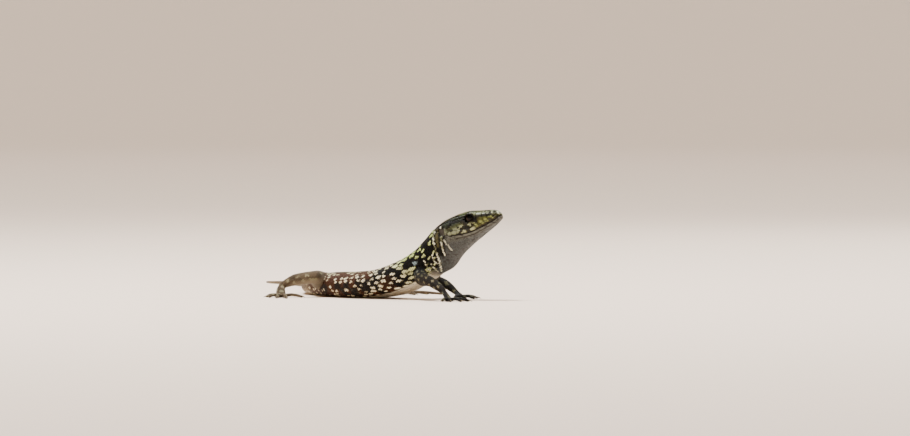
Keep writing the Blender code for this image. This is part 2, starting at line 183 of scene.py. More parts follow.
EYE_BACK, EYE_OUT, EYE_UP = 7.05, 2.62, 1.8
EYE_RADIUS = 1.55
EYE_COVER, EYE_SOFTEN, EYE_REACH = 0.1, 0.02, 1.0  # the least flesh over the eyeball, and how it starts
SNOUT_CAP = 0.5  # stations below 0 are on the snout's blunt end, and this far below is its middle
SNOUT_BULGE, BULGE_LIFT = 0.1, 0.3
EAR_BACK, EAR_UP, EAR_DEPTH = 14.9, 0.9, 0.75
EAR_ARC = 14  # nearer the middle of the back than this, so not on the other side's ear
EAR_HOLE, EAR_BARE = (0.85, 1.1), (0.8, 1.05)  # half sizes of the opening, and of where no scales stand
STREAK_RISE = 0.1

# Joints of each limb: the centre and the radius there.
RIGHT_ARM = [((20.3, -0.8, 6.5), 2.2), ((24.8, -4.0, 5.3), 1.85), ((29.6, -5.8, 4.9), 1.45),
             ((33.2, -6.4, 3.9), 1.3), ((36.2, -6.6, 2.5), 0.9)]
LEFT_ARM = [((18.5, 4.4, 7.2), 2.2), ((15.8, 7.6, 6.2), 1.75), ((12.9, 10.0, 4.9), 1.35),
            ((15.2, 11.8, 3.5), 1.25), ((17.8, 12.8, 1.6), 0.85)]
RIGHT_LEG = [((-19.6, 1.8, 3.4), 2.6), ((-16.4, -3.6, 4.3), 2.4), ((-12.7, -7.8, 5.1), 1.75),
             ((-16.8, -10.2, 4.5), 1.6), ((-20.9, -12.0, 2.9), 0.95)]
LEFT_LEG = [((-19.0, 7.0, 3.4), 2.6), ((-14.6, 10.8, 4.1), 2.4), ((-10.6, 13.6, 4.7), 1.75),
            ((-15.2, 16.8, 3.7), 1.6), ((-19.4, 19.6, 1.9), 0.95)]
LIMB_OVAL = 0.92
# Spread in degrees and length of each digit.
FINGERS = [(62, 2.7), (30, 4.1), (6, 5.2), (-16, 5.3), (-46, 3.6)]
TOES = [(44, 3.1), (22, 5.2), (4, 8.2), (-8, 11.2), (-52, 5.6)]
# Length, half width and half thickness, and the shares of them from the wrist to the knuckles.
PALM, SOLE = (3.0, 1.35, 0.75), (5.2, 1.55, 0.85)
PALM_SHAPE = [(0, 0.55, 0.9), (0.3, 0.8, 1.0), (0.7, 1.0, 0.95), (1.0, 0.85, 0.6)]
PALM_LAP, DIGIT_LAP = 0.3, 0.5  # how far each reaches back into the part before it
KNUCKLES = 0.8  # where the digits start, as a share of the palm's length
DIGIT_ROW = np.linspace(0.75, -0.75, 5)  # the digits' places across the palm, as shares of its half width
PALM_SINK, DIGIT_SINK = 0.08, 0.04  # how much nearer the floor than its own radius each lies
DIGIT_RADIUS = 0.46
DIGIT_TAPER = ((0, 0.35, 0.7, 1.0), (1.0, 0.95, 0.85, 0.72))
CLAW_LENGTH, CLAW_LAP = 1.15, 0.25
CLAW_RADIUS, CLAW_TAPER, CLAW_OVAL = 0.2, 0.85, 0.75
CLAW_HEIGHTS, CLAW_ARCH = (0.36, 0.09), 0.12  # its middle line at root and tip, and the hook's rise between
KNUCKLE_RISE = 0.35
# limb name: joints, palm or sole, digits, heading in degrees, the side its digits spread to, its nodes
LIMBS = {
    "right_arm": (RIGHT_ARM, PALM, FINGERS, 0.0, -1, ("upper", "forearm", "hand")),
    "left_arm": (LEFT_ARM, PALM, FINGERS, -6.0, 1, ("upper", "forearm", "hand")),
    "right_leg": (RIGHT_LEG, SOLE, TOES, -42.0, -1, ("thigh", "shank", "foot")),
    "left_leg": (LEFT_LEG, SOLE, TOES, 62.0, 1, ("thigh", "shank", "foot")),
}
FLESH = ("head", "lower_jaw", "neck", "trunk", "tail_base", "tail_front", "tail_middle", "tail_end")


def half_section(station, height):
    """The section's reach and squareness above its axis, or below it where the height is under 0."""
    top = np.asarray(height) >= 0
    return (np.where(top, ABOVE(station), BELOW(station)),
            np.where(top, TOP_SQUARE(station), UNDER_SQUARE(station)))


class Spine:
    """The line along the body, and the oval section round each of its stations."""

    PITCH, GIRTH_PITCH, GIRTH_TURN = 0.25, 0.5, math.radians(2)

    def __init__(self):
        self.at = np.arange(0, TAIL_TIP + self.PITCH, self.PITCH)
        rise = math.sin(math.radians(HEAD_PITCH))
        height = np.where(self.at < HEAD_END, SNOUT_HEIGHT - rise * self.at, AXIS_HEIGHT(self.at))
        level = np.sqrt(1 - np.gradient(height, self.at) ** 2)
        yaw = np.radians(YAW(self.at))
        steps = -columns(np.cos(yaw) * level, np.sin(yaw) * level) * self.PITCH
        path = np.cumsum(steps, axis=0) - steps / 2
        self.points = self.eased(np.column_stack([path, height]))
        self.points[:, :2] -= self.points[int(ORIGIN_STATION / self.PITCH), :2]
        self.forward = unit(-np.gradient(self.points, self.at, axis=0))
        self.left = unit(np.cross([0, 0, 1], self.forward))
        self.up = np.cross(self.forward, self.left)
        self.measure_girths()

    def eased(self, points):
        """The line with its bends softened, so that the sections don't cross at the throat."""
        reach = int(3 * BEND_BLEND / self.PITCH)
        weight = np.exp(-0.5 * (np.arange(-reach, reach + 1) * self.PITCH / BEND_BLEND) ** 2)
        padded = np.pad(points, ((reach, reach), (0, 0)), mode="reflect", reflect_type="odd")
        return columns(*(np.convolve(row, weight / weight.sum(), mode="valid") for row in padded.T))

    def in_head(self, back, out, up):
        """A place in the head's own axes, in the row's frame."""
        back, out, up = (x[..., None] for x in np.broadcast_arrays(back, out, up))
        return self.points[0] - back * self.forward[0] + out * self.left[0] + up * self.up[0]

    def to_head(self, points):
        """The back, out and up of each point in the head's own axes: the inverse of in_head()."""
        local = points - self.points[0]
        return -(local @ self.forward[0]), local @ self.left[0], local @ self.up[0]

    def surface(self, station, angle, lift=0.0):
        """Points on the body, `lift` outside the solids' surface, and never below the floor."""
        station, angle, lift = np.broadcast_arrays(station, angle, lift)
        out, rise = np.sin(angle), np.cos(angle)
        cap = np.clip(1 + station / SNOUT_CAP, 0, 1)
        tall, square = half_section(station, rise)
        sideways = (HALF_WIDTH(station) + lift) * cap * np.sign(out) * np.abs(out) ** (2 / square)
        upwards = (tall + lift) * cap * np.sign(rise) * np.abs(rise) ** (2 / square)
        bulge = (SNOUT_BULGE + BULGE_LIFT * np.clip(lift + COAT, -1, 1)) * np.sqrt(1 - cap**2)
        points = between(self.at, self.points, station)
        for rows, reach in ((self.left, sideways), (self.up, upwards), (self.forward, bulge)):
            points = points + between(self.at, rows, station) * reach[..., None]
        for side in SIDES:
            points = self.over_eye(points, side, lift)
        return off_floor(points)

    def over_eye(self, points, side, lift):
        """Points near an eyeball moved out from its middle, so that flesh covers it."""
        eye = self.in_head(EYE_BACK, side * EYE_OUT, EYE_UP)
        away = points - eye
        far = np.maximum(np.linalg.norm(away, axis=-1), 1e-6)
        least = EYE_RADIUS + EYE_COVER + lift + COAT
        soft = 0.5 * (far + least + np.sqrt((far - least) ** 2 + EYE_SOFTEN))
        near = (far < least + EYE_REACH) & (far > 0.9)  # not the places across the head
        return np.where(near[..., None], eye + away * (soft / far)[..., None], points)

    def measure_girths(self):
        """Arc lengths from the middle of the back down one side, for each station of a grid."""
        self.girth_at = np.arange(0, TAIL_TIP + 0.01, self.GIRTH_PITCH)
        self.girth_angles = np.arange(0, math.pi + 0.01, self.GIRTH_TURN)
        ring = self.surface(self.girth_at[:, None], self.girth_angles[None, :])
        steps = np.linalg.norm(np.diff(ring, axis=1), axis=2)
        self.arcs = np.concatenate([np.zeros((len(ring), 1)), np.cumsum(steps, axis=1)], axis=1)

    def arc(self, station, angle):
        """Distance round the body from the middle of the back, with the angle's sign."""
        station, angle = np.broadcast_arrays(station, angle)
        row = np.clip(np.asarray(station, float) / self.GIRTH_PITCH, 0, len(self.girth_at) - 1.001)
        column = np.clip(np.abs(angle) / self.GIRTH_TURN, 0, len(self.girth_angles) - 1.001)
        i, j = row.astype(int), column.astype(int)
        near, far = (blend(self.arcs[k, j], self.arcs[k, j + 1], column - j) for k in (i, i + 1))
        return np.sign(angle) * blend(near, far, row - i)

    def angle(self, station, arc):
        """The angle at a distance round the body: the inverse of arc()."""
        station, arc = (np.atleast_1d(x).astype(float) for x in np.broadcast_arrays(station, arc))
        found = np.empty(station.shape)
        rows = np.clip(np.round(station / self.GIRTH_PITCH).astype(int), 0, len(self.girth_at) - 1)
        scale = self.half_girth(station) / self.arcs[rows, -1]
        for row in np.unique(rows):
            here = rows == row
            found[here] = np.interp(np.abs(arc[here]) / scale[here], self.arcs[row], self.girth_angles)
        return np.sign(arc) * found

    def half_girth(self, station):
        return self.arc(station, math.pi)


SPINE = Spine()


def angle_from_height(s, height, side):
    """The angle of a place on one flank, from its height over the section's axis."""
    tall, square = half_section(s, height)
    share = np.clip(np.abs(height) / tall, 0, 1)
    return side * np.arccos(np.sign(height) * share ** (square / 2))


def angle_from_side(s, out):
    """The angle of a place on the upper side, from how far out from the middle it is."""
    share = np.clip(np.abs(out) / HALF_WIDTH(s), 0, 1)
    return np.sign(out) * np.arcsin(share ** (TOP_SQUARE(s) / 2))


def side_out(back, up):
    """How far out the head's side is at a place in side view."""
    tall, square = half_section(back, up)
    share = np.clip(1 - (np.abs(up) / tall) ** square, 0, 1)
    return HALF_WIDTH(back) * share ** (1 / square)


def mouth_arc(station):
    """Distance round the body from the back to the mouth line."""
    return SPINE.arc(station, angle_from_height(station, MOUTH(station), 1))


def ear_distance(points, long, tall):
    """Distance from the ear's middle in side view, as a share of an oval's half sizes."""
    back, _, up = SPINE.to_head(points)
    return np.hypot((back - EAR_BACK) / long, (up - EAR_UP) / tall)


def rearward(form, station, angle, step):
    """The way along a form's surface towards its rear."""
    return unit(form.surface(station + step, angle) - form.surface(station - step, angle))


# --- tubes: limbs, palms and digits ---
CAP_TURNS = np.radians((35, 65, 85))  # rings of a tube's rounded end


class Tube:
    """A run of ovals: centre, way along, half width and half height at each station."""

    def __init__(self, centres, ways, half_widths, half_heights):
        self.centres, self.half_widths, self.half_heights = centres, half_widths, half_heights
        self.ways = unit(np.array(ways, float))
        self.at = run_lengths(centres)
        self.length = self.at[-1]

    def sizes(self, station):
        return (np.interp(station, self.at, values) for values in (self.half_widths, self.half_heights))

    def surface(self, station, angle, lift=0.0):
        station, angle, lift = np.broadcast_arrays(station, angle, lift)
        way = unit(between(self.at, self.ways, station))
        side = unit(np.cross([0, 0, 1], way))
        wide, tall = self.sizes(station)
        return off_floor(
            between(self.at, self.centres, station)
            + side * ((wide + lift) * np.sin(angle))[..., None]
            + np.cross(way, side) * ((tall + lift) * np.cos(angle))[..., None]
        )

    def girth(self, station):
        return math.pi * sum(self.sizes(station))

    def closed_rings(self, sides, pitch, inset):
        """Rings from end to end, with rounded ends where the tube is thick there."""
        stations = np.linspace(0, self.length, max(3, int(self.length / pitch)))
        rings = list(self.surface(stations[:, None], turns_of(sides)[None, :], -inset))
        caps = []
        for end, sign in ((0, -1), (-1, 1)):
            centre = self.centres[end]
            reach = sign * self.ways[end] * (min(self.half_widths[end], self.half_heights[end]) - inset)
            caps.append([off_floor(centre + (rings[end] - centre) * math.cos(turn) + reach * math.sin(turn))
                         for turn in CAP_TURNS])
        return [*caps[0][::-1], *rings, *caps[1]]


def limb_tube(joints, count=24):
    """A limb's length, smooth through its joints."""
    points = np.array([joint[0] for joint in joints], float)
    at = run_lengths(points)
    stations = np.linspace(0, at[-1], count)
    path = columns(*(smooth_curve(columns(at, points[:, k]))(stations) for k in range(3)))
    radius = smooth_curve([(place, joint[1]) for place, joint in zip(at, joints)])(stations)
    return Tube(path, np.gradient(path, stations, axis=0), radius * LIMB_OVAL, radius)


def heading(degrees):
    return np.array([math.cos(math.radians(degrees)), math.sin(math.radians(degrees)), 0.0])


def palm_tube(wrist, turn, palm):
    length, half_width, half_thick = palm
    share, wide, thick = np.array(PALM_SHAPE).T
    ahead = heading(turn)
    centres = wrist + ahead * (length * share - PALM_LAP)[:, None]
    centres[:, 2] = np.where(share > 0.5, half_thick * thick - PALM_SINK, blend(wrist[2], 0.5, share))
    return Tube(centres, [ahead] * len(share), half_width * wide, half_thick * thick)


def digit_tubes(wrist, turn, palm, digits, hand):
    length, half_width, _ = palm
    ahead = heading(turn)
    front = wrist + ahead * (KNUCKLES * length - PALM_LAP)
    across = np.array([-ahead[1], ahead[0], 0.0]) * hand
    share = np.linspace(0, 1, 12)
    radius = DIGIT_RADIUS * np.interp(share, *DIGIT_TAPER)
    for place, (spread, reach) in zip(DIGIT_ROW, digits):
        along = heading(turn + hand * spread)
        base = front + across * half_width * place - along * DIGIT_LAP
        centres = base + along * ((DIGIT_LAP + reach) * share)[:, None]
        centres[:, 2] = radius - DIGIT_SINK + KNUCKLE_RISE * np.sin(math.pi * share)
        yield Tube(centres, [along] * len(share), radius, radius)


def limb_forms(joints, palm, digits, turn, hand):
    """A limb's tubes: its length, its palm or sole, and its digits."""
    wrist = np.array(joints[-1][0])
    return [limb_tube(joints), palm_tube(wrist, turn, palm), *digit_tubes(wrist, turn, palm, digits, hand)]


FORMS = {name: limb_forms(*form) for name, (*form, _) in LIMBS.items()}
KINDS = ("length", "palm") + ("digit",) * len(DIGIT_ROW)
TUBES = [(name, kind, tube) for name, tubes in FORMS.items() for kind, tube in zip(KINDS, tubes)]


# --- meshes ---
def mesh_from(name, vertices, quads, triangles):
    """A smooth mesh from arrays of corners, four or three to a face."""
    mesh = bpy.data.meshes.new(name)
    mesh.vertices.add(len(vertices))
    mesh.vertices.foreach_set("co", np.asarray(vertices, np.float32).ravel())
    corners = np.concatenate([np.ravel(quads), np.ravel(triangles)]).astype(np.int32)
    sizes = np.repeat([4, 3], [len(quads), len(triangles)])
    mesh.loops.add(len(corners))
    mesh.loops.foreach_set("vertex_index", corners)
    mesh.polygons.add(len(sizes))
    mesh.polygons.foreach_set("loop_start", (np.cumsum(sizes) - sizes).astype(np.int32))
    mesh.polygons.foreach_set("use_smooth", np.ones(len(sizes), bool))
    mesh.update(calc_edges=True)
    return mesh


def read_out(items, field, width, kind):
    """One field of all of a mesh's vertices or loops."""
    data = np.empty(len(items) * width, kind)
    items.foreach_get(field, data)
    return data


def link(name, data):
    made = bpy.data.objects.new(name, data)
    bpy.context.scene.collection.objects.link(made)
    return made


class Shell:
    """Vertices and faces that are gathered piece by piece."""

    def __init__(self):
        self.points, self.quads, self.triangles = [], [np.zeros((0, 4), int)], [np.zeros((0, 3), int)]
        self.count = 0

    def add(self, points, quads, triangles=()):
        self.points.append(np.asarray(points, float).reshape(-1, 3))
        self.quads.append(np.asarray(quads, int).reshape(-1, 4) + self.count)
        self.triangles.append(np.asarray(triangles, int).reshape(-1, 3) + self.count)
        self.count += len(self.points[-1])

    def arrays(self):
        return [np.concatenate(rows) for rows in (self.points, self.quads, self.triangles)]


def ring_quads(rows, sides):
    """Faces between rings of equal counts that are stored one after another."""
    row, side = np.meshgrid(np.arange(rows - 1) * sides, np.arange(sides), indexing="ij")
    after = row + (side + 1) % sides
    return columns(row + side, after, after + sides, row + side + sides).reshape(-1, 4)


def fan(first, sides, tip):
    """Triangles from the ring that starts at `first` to a tip."""
    around = np.arange(sides)
    return columns(first + around, first + (around + 1) % sides, tip)


def loft(rings):
    """A closed tube through rings, with a fan at each end."""
    sides, count = len(rings[0]), len(rings) * len(rings[0])
    points = np.concatenate([*rings, [rings[0].mean(axis=0)], [rings[-1].mean(axis=0)]])
    ends = [fan(0, sides, count)[:, [1, 0, 2]], fan(count - sides, sides, count + 1)]
    return points, ring_quads(len(rings), sides), np.concatenate(ends)


def store(name, arrays, finish, slot, tints=None, painted_shades=None, patches=None):
    """A finished piece that rides on the frame; tints and painted shades, the shade painted at scales' feet
    and plates' edges, are per vertex, and so are patches.
    """
    vertices, quads, triangles = arrays
    mesh = mesh_from(name, vertices * MM, quads, triangles)
    if tints is not None:
        rgba = np.ones((len(vertices), 4), np.float32)
        rgba[:, :3] = tints
        mesh.color_attributes.new("tint", "FLOAT_COLOR", "POINT").data.foreach_set("color", rgba.ravel())
    if painted_shades is not None:
        mesh.attributes.new("painted_shade", "FLOAT", "POINT").data.foreach_set("value", painted_shades.astype(np.float32))
        corners = read_out(mesh.loops, "vertex_index", 1, np.int32)
        layer = mesh.uv_layers.new(name="OFBake")
        layer.data.foreach_set("uv", patches[corners].astype(np.float32).ravel())
    mesh.materials.append(finish)
    made = link(name, mesh)
    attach(made, "root")
    return made


# --- skin ---
VOXEL = 0.25
CORE_START, CORE_END = -0.48, 150.0  # the tail behind this, and the digits, are too thin to remesh
THIN_TAIL = 1.2  # where the half width is less than this, the coat is thinner too
# Rings of each part of the skin: how many sides, and the pitch between them.
BODY_RINGS, TAIL_RINGS, LIMB_RINGS = (72, 0.4), (20, 0.6), (28, 0.4)
DIGIT_RINGS, CLAW_RINGS = (14, 0.3), (10, 0.1)
BODY_SAMPLES, TUBE_SAMPLES = (0.45, 4.0), (0.4, 15.0)  # the chart's pitch and turn in degrees


def remeshed(arrays):
    """One closed surface round all the overlapping forms."""
    made = link("core", mesh_from("core", *arrays))
    remesh = made.modifiers.new("remesh", "REMESH")
    remesh.mode = "VOXEL"
    remesh.voxel_size = VOXEL
    mesh = made.evaluated_get(bpy.context.evaluated_depsgraph_get()).to_mesh()
    points = read_out(mesh.vertices, "co", 3, np.float32).reshape(-1, 3).astype(float)
    quads = read_out(mesh.loops, "vertex_index", 1, np.int32).reshape(-1, 4)
    bpy.data.objects.remove(made)
    return points, quads


def gathered(index, values, count):
    """Sums of the rows of values that share an index."""
    return columns(*(np.bincount(index, values[:, k], count) for k in range(3)))


def relaxed(points, quads, rounds, share=0.5):
    """The surface with its small steps smoothed away."""
    edges = np.concatenate([quads[:, [k, (k + 1) % 4]] for k in range(4)])
    count = np.bincount(edges.ravel(), minlength=len(points))
    for _ in range(rounds):
        near = sum(gathered(edges[:, k], points[edges[:, 1 - k]], len(points)) for k in (0, 1))
        points = points + (near / count[:, None] - points) * share
    return points


def vertex_normals(points, quads):
    corners = points[quads]
    normals = np.cross(corners[:, 2] - corners[:, 0], corners[:, 3] - corners[:, 1])
    return unit(sum(gathered(quads[:, k], normals, len(points)) for k in range(4)))


def coat_depth(s):
    return COAT * np.minimum(1, HALF_WIDTH(s) / THIN_TAIL)


def body_rings(start, end, sides, pitch, share=1.0):
    """Rings of the skin round the body, inside the solids by a share of the coat's depth."""
    stations = np.linspace(start, end, int((end - start) / pitch) + 1)
    inset = share * coat_depth(stations)[:, None]
    return list(SPINE.surface(stations[:, None], turns_of(sides)[None, :], -inset))


class Chart:
    """Samples of every form's surface, to look up where on the animal a point of the skin lies."""

    def __init__(self):
        forms = [(SPINE, TAIL_TIP, *BODY_SAMPLES)]
        forms += [(tube, tube.length, *TUBE_SAMPLES) for _, _, tube in TUBES]
        rows = []
        for number, (form, end, pitch, turn) in enumerate(forms):
            angles = np.radians(np.arange(-180, 180, turn))
            s, angle = (x.ravel() for x in np.meshgrid(np.arange(0, end, pitch), angles, indexing="ij"))
            rows.append((form.surface(s, angle), np.full(len(s), number), s, angle))
        points, *self.known = (np.concatenate(part) for part in zip(*rows))
        self.tree = tree_of(points)

    def look_up(self, points):
        """The form, the station and the angle of each point: form 0 is the body, 1 is the first tube."""
        found = np.array([self.tree.find(point)[1] for point in points.tolist()])
        return [values[found] for values in self.known]


CHART = Chart()


# --- markings: colours at (station, angle, distance round from the middle of the back) ---
# the second paint is painted shade, laid round the eye and on the lids next to it
BLACK, EYE_SHADE = paint(7, 7, 5), paint(9, 8, 6)
RUSSET, BROWN = paint(58, 30, 11), paint(112, 95, 72)
GREEN, CREAM = paint(196, 214, 128), paint(246, 238, 204)
SNOUT, THROAT, BELLY = paint(68, 69, 30), paint(75, 78, 78), paint(205, 198, 178)
# Stations over which one pattern gives way to the next.
FRONT_FADE, REAR_FADE, NECK_FADE, TAIL_FADE = (33, 27), (33, 46), (24.5, 22.5), (70, 78)
SPOT_ROW, SPOT_PITCH = 1.14, 2.2
# Pale streaks on the side of the neck: half width and the (station, angle) points each runs through.
STREAKS = [
    (0.19, [(16.7, 60), (17.5, 84), (18.1, 99), (19.4, 118), (20.6, 136), (22.6, 162)]),
    (0.2, [(14.7, 60), (15.1, 90), (16.1, 111), (17.1, 130)]),
    (0.14, [(14.9, 98), (14.4, 117), (14.2, 139)]),
    (0.15, [(13.4, 76), (13.7, 91)]),
    (0.15, [(20.6, 112), (21.4, 128), (20.9, 139)]),
    (0.13, [(22.5, 126), (23.4, 162)]),
    (0.12, [(23.0, 106), (23.6, 122), (24.1, 144)]),
]
REAR_STREAK = smooth_curve([(60, 16.7), (99, 18.1), (118, 19.4), (136, 20.6), (162, 22.6)])  # by angle
# The border between the neck's dark side and the grey throat, as (station, angle).
THROAT_EDGE = smooth_curve([(12.8, 94), (14.5, 104), (16, 124), (17.5, 131), (19.4, 122), (21, 142),
                            (23, 165)])
OLIVE_BAND = [(15.8, 68), (16.2, 80), (17.2, 104)]
# Folds of the skin: depth, reach and (station, angle) points.
FOLDS = [(0.22, 0.5, [(16.2, 152), (17.0, 165), (17.4, 180)]),
         (0.2, 0.45, [(22.6, 118), (23.4, 145), (23.8, 180)])]
# the pale paint serves a pale mark on the snout and a painted highlight on its tip
DARK_MARK, PALE_MARK_AND_HIGHLIGHT = paint(18, 15, 8), paint(188, 190, 160)
# Lines and marks on the head: paint, reach, core, strength and the (station, angle) points of each; the
# last is a painted highlight on the snout's tip.
HEAD_MARKS = [
    (paint(138, 144, 108), 0.55, 0.3, 0.8, [(1.2, 42), (2.6, 49), (4.2, 45), (5.9, 50)]),
    (paint(66, 80, 52), 0.5, 0.25, 0.8, [(6.2, 42), (7.4, 43), (8.9, 44)]),
    (DARK_MARK, 0.42, 0.231, 0.92, [(1.6, 68), (3.3, 71), (4.8, 70), (6.0, 76)]),
    (DARK_MARK, 0.42, 0.231, 0.92, [(2.1, 38), (2.0, 62)]),
    (DARK_MARK, 0.3, 0.165, 0.92, [(1.15, 20), (1.1, 56)]),
    (DARK_MARK, 0.2, 0.11, 0.92, [(2.9, 58), (3.6, 60)]),
    (PALE_MARK_AND_HIGHLIGHT, 0.2, 0.11, 0.92, [(1.6, 44), (1.5, 64)]),
    # painted highlight across the top of the snout's tip
    (PALE_MARK_AND_HIGHLIGHT, 0.24, 0.132, 0.92, [(0.5, 20), (0.35, 60)]),
]
LIP_PATCHES = [(1.9, 84), (3.2, 90), (4.4, 92), (5.9, 94)]


def line_distance(s, w, stops):
    """Distance over the skin from each place to a line through (station, angle) stops."""
    at, degrees = np.array(stops, float).T
    arc = SPINE.arc(at, np.radians(degrees))
    least = np.full(np.shape(s), np.inf)
    for i in range(len(at) - 1):
        ds, dw = at[i + 1] - at[i], arc[i + 1] - arc[i]
        t = np.clip(((s - at[i]) * ds + (w - arc[i]) * dw) / (ds * ds + dw * dw), 0, 1)
        least = np.minimum(least, np.hypot(s - at[i] - t * ds, w - arc[i] - t * dw))
    return least


def place_distance(s, w, station, degrees, long=1.0, wide=1.0):
    """Distance over the skin from one place, in units of `long` along the body and `wide` across it."""
    return np.hypot((s - station) / long, (w - SPINE.arc(station, math.radians(degrees))) / wide)


def spots(s, w, row, pitch, half_long, half_wide, seed):
    """How deep in a spot each place lies, from 0 to 1, and that spot's own share from 0 to 1."""
    best, share = np.zeros(np.shape(s)), np.zeros(np.shape(s))
    line = np.floor(w / row)
    for across in (-1, 0, 1):
        lane = line + across
        shift = (hashed(lane, seed) * 0.35 + np.mod(lane, 2) * 0.5) * pitch
        cell = np.floor((s + shift) / pitch)
        for along in (-1, 0, 1):
            own = [hashed(lane, cell + along, seed + k) for k in range(5)]
            at = (cell + along + 0.5 + 0.34 * (own[0] - 0.5)) * pitch - shift
            arc = (lane + 0.5 + 0.26 * (own[1] - 0.5)) * row
            size = 0.78 + 0.4 * own[2]
            far = np.hypot((s - at) / (half_long * size), (w - arc) / (half_wide * size))
            level = fade(1.15, 0.9, far) * (own[3] > 0.1)
            share = np.where(level > best, own[4], share)
            best = np.maximum(best, level)
    return best, share


def trunk_colour(s, w, seed):
    """Neck, back and flanks: pale spots in rows, green in front and cream behind, on black to russet."""
    front, rear, neck = (fade(*ends, s) for ends in (FRONT_FADE, REAR_FADE, NECK_FADE))
    rusty = fade(0.5, 0.62, blotches(s, w, 1.9, seed) + 0.14 * fade(44, 58, s)) * fade(29, 36, s)
    ground = mix(mix(BLACK, paint(15, 10, 6), rear), RUSSET, rusty * 0.9)
    back = mix(paint(40, 44, 18), paint(50, 40, 22), rear)
    back = mix(back, BLACK, fade(0.5, 0.64, blotches(s, w, 1.2, seed + 7)) * 0.95)
    ground = mix(ground, back, fade(4.2, 2.2, w))
    long = blend(blend(0.58, 0.76, front), 0.56, neck)
    wide = blend(blend(0.35, 0.4, front), 0.3, neck)
    level, share = spots(s, w, SPOT_ROW, SPOT_PITCH, long, wide, seed)
    level = level * (1 - neck * (share < 0.25) - rear * (share < 0.42))
    hue = mix(GREEN, CREAM, np.clip(fade(26, 33, s) * 0.75 + fade(5, 9, w) * 0.4, 0, 1))
    hue = mix(hue, paint(176, 144, 96), rear * (0.9 - 0.7 * share))
    hue = mix(hue, paint(96, 110, 54), fade(3.8, 1.8, w) * (1 - 0.5 * rear))
    return mix(ground, hue * blend(0.68, 1.08, share)[..., None], level)


def neck_side(s, w, angle, colour, seed):
    """Black folds with pale streaks behind the ear, and the blue-grey eyespot over the shoulder."""
    edge, last = THROAT_EDGE(s), REAR_STREAK(angle)
    inside = fade(12.8, 13.6, s) * fade(last + 0.5, last, s) * fade(56, 66, angle)
    inside = inside * fade(edge + 3, edge - 5, angle)
    olive = fade(0.6, 0.3, line_distance(s, w, OLIVE_BAND))
    olive = olive * fade(0.2, 0.5, blotches(s * 2, w * 0.7, 1.0, seed))
    colour = mix(colour, mix(BLACK, paint(74, 70, 40), olive), inside)
    colour = mix(colour, paint(10, 10, 9), fade(1.15, 0.85, place_distance(s, w, 24.0, 107, 1.15, 1.5)))
    colour = mix(colour, paint(128, 146, 150), fade(0.62, 0.42, place_distance(s, w, 25.1, 100)))
    worn = fade(0.45, 0.7, blotches(s, w, 0.9, seed + 3))
    pale = mix(paint(240, 240, 214), paint(120, 122, 90), worn)
    for half, stops in STREAKS:
        colour = mix(colour, pale, fade(half * 1.5, half * 0.75, line_distance(s, w, stops)))
    return colour


def head_colour(s, w, angle, seed):
    """Olive above with black flecks, yellow-olive snout, dark eye band and temple, pale lips and chin;
    painted shade round the eye and along the front of the upper lip's edge, and a painted highlight on the
    snout's tip.
    """
    fleck = fade(0.58, 0.70, blotches(s, w, 0.9, seed + 5))
    top = mix(mix(paint(82, 82, 46), paint(66, 66, 34), fade(3, 7, s)), paint(40, 43, 25), fade(9, 15, s))
    top = mix(top, BLACK, fleck * (0.4 + 0.5 * fade(5, 12, s)))
    side = mix(SNOUT, paint(64, 68, 36), fade(5, 9, s))
    side = mix(side, paint(44, 38, 16), fade(0.45, 0.62, blotches(s, w, 0.6, seed + 15)) * 0.85)
    for station, turn in LIP_PATCHES:
        side = mix(side, paint(132, 136, 78), fade(0.62, 0.3, place_distance(s, w, station, turn)) * 0.85)
    mottle = fade(0.35, 0.65, blotches(s, w, 0.7, seed + 9))
    temple = fade(7.6, 9.0, s) * fade(84, 74, angle)
    side = mix(side, mix(paint(36, 42, 30), paint(8, 8, 6), mottle), temple)
    speck = fade(0.40, 0.55, blotches(s, w, 0.6, seed + 11))
    pale = mix(paint(168, 172, 132), paint(122, 126, 98), fade(9, 11, s))
    lips = fade(83, 89, angle) * fade(5.5, 7.0, s)
    side = mix(side, mix(pale, paint(22, 20, 12), speck), lips * 0.92)
    gap = w - mouth_arc(s)
    # painted shade along the lower edge of the upper lip, at the front
    side = mix(side, paint(40, 30, 16), fade(-0.75, -0.25, gap) * fade(7.0, 5.5, s) * 0.8)
    colour = mix(top, side, fade(40, 50, angle))
    for shade, reach, core, strength, stops in HEAD_MARKS:
        colour = mix(colour, shade, fade(reach, core, line_distance(s, w, stops)) * strength)
    # painted shade round the eye
    ball = place_distance(s, w, EYE_BACK, 73, 1.0, 0.75)
    colour = mix(colour, EYE_SHADE, fade(2.05, 1.5, ball) * 0.9)
    chin = mix(paint(94, 95, 88), THROAT, fade(0.8, 2.4, gap))
    chin = mix(chin, paint(52, 51, 50), reticulate(s, w, seed))
    chin = mix(chin, paint(60, 57, 52), fade(0.28, 0.12, np.abs(gap - 1.05)) * fade(13, 11, s) * 0.7)
    under = np.where(s < MOUTH_END, fade(0.0, 0.15, gap), fade(92, 100, angle + 3 * np.sin(s * 2)))
    lip_line = fade(0.3, 0.12, np.abs(gap)) * fade(0.2, 1.2, s) * fade(13.2, 12.4, s)
    return mix(mix(colour, chin, under), paint(16, 13, 9), lip_line * 0.9)


def reticulate(s, w, seed):
    """The share of dark in the fine netted pattern of chin and throat."""
    fine, coarse = blotches(s, w, 0.42, seed + 13), blotches(s, w, 1.6, seed + 14)
    return fade(0.5, 0.72, fine) * blend(0.35, 0.85, fade(0.3, 0.6, coarse))


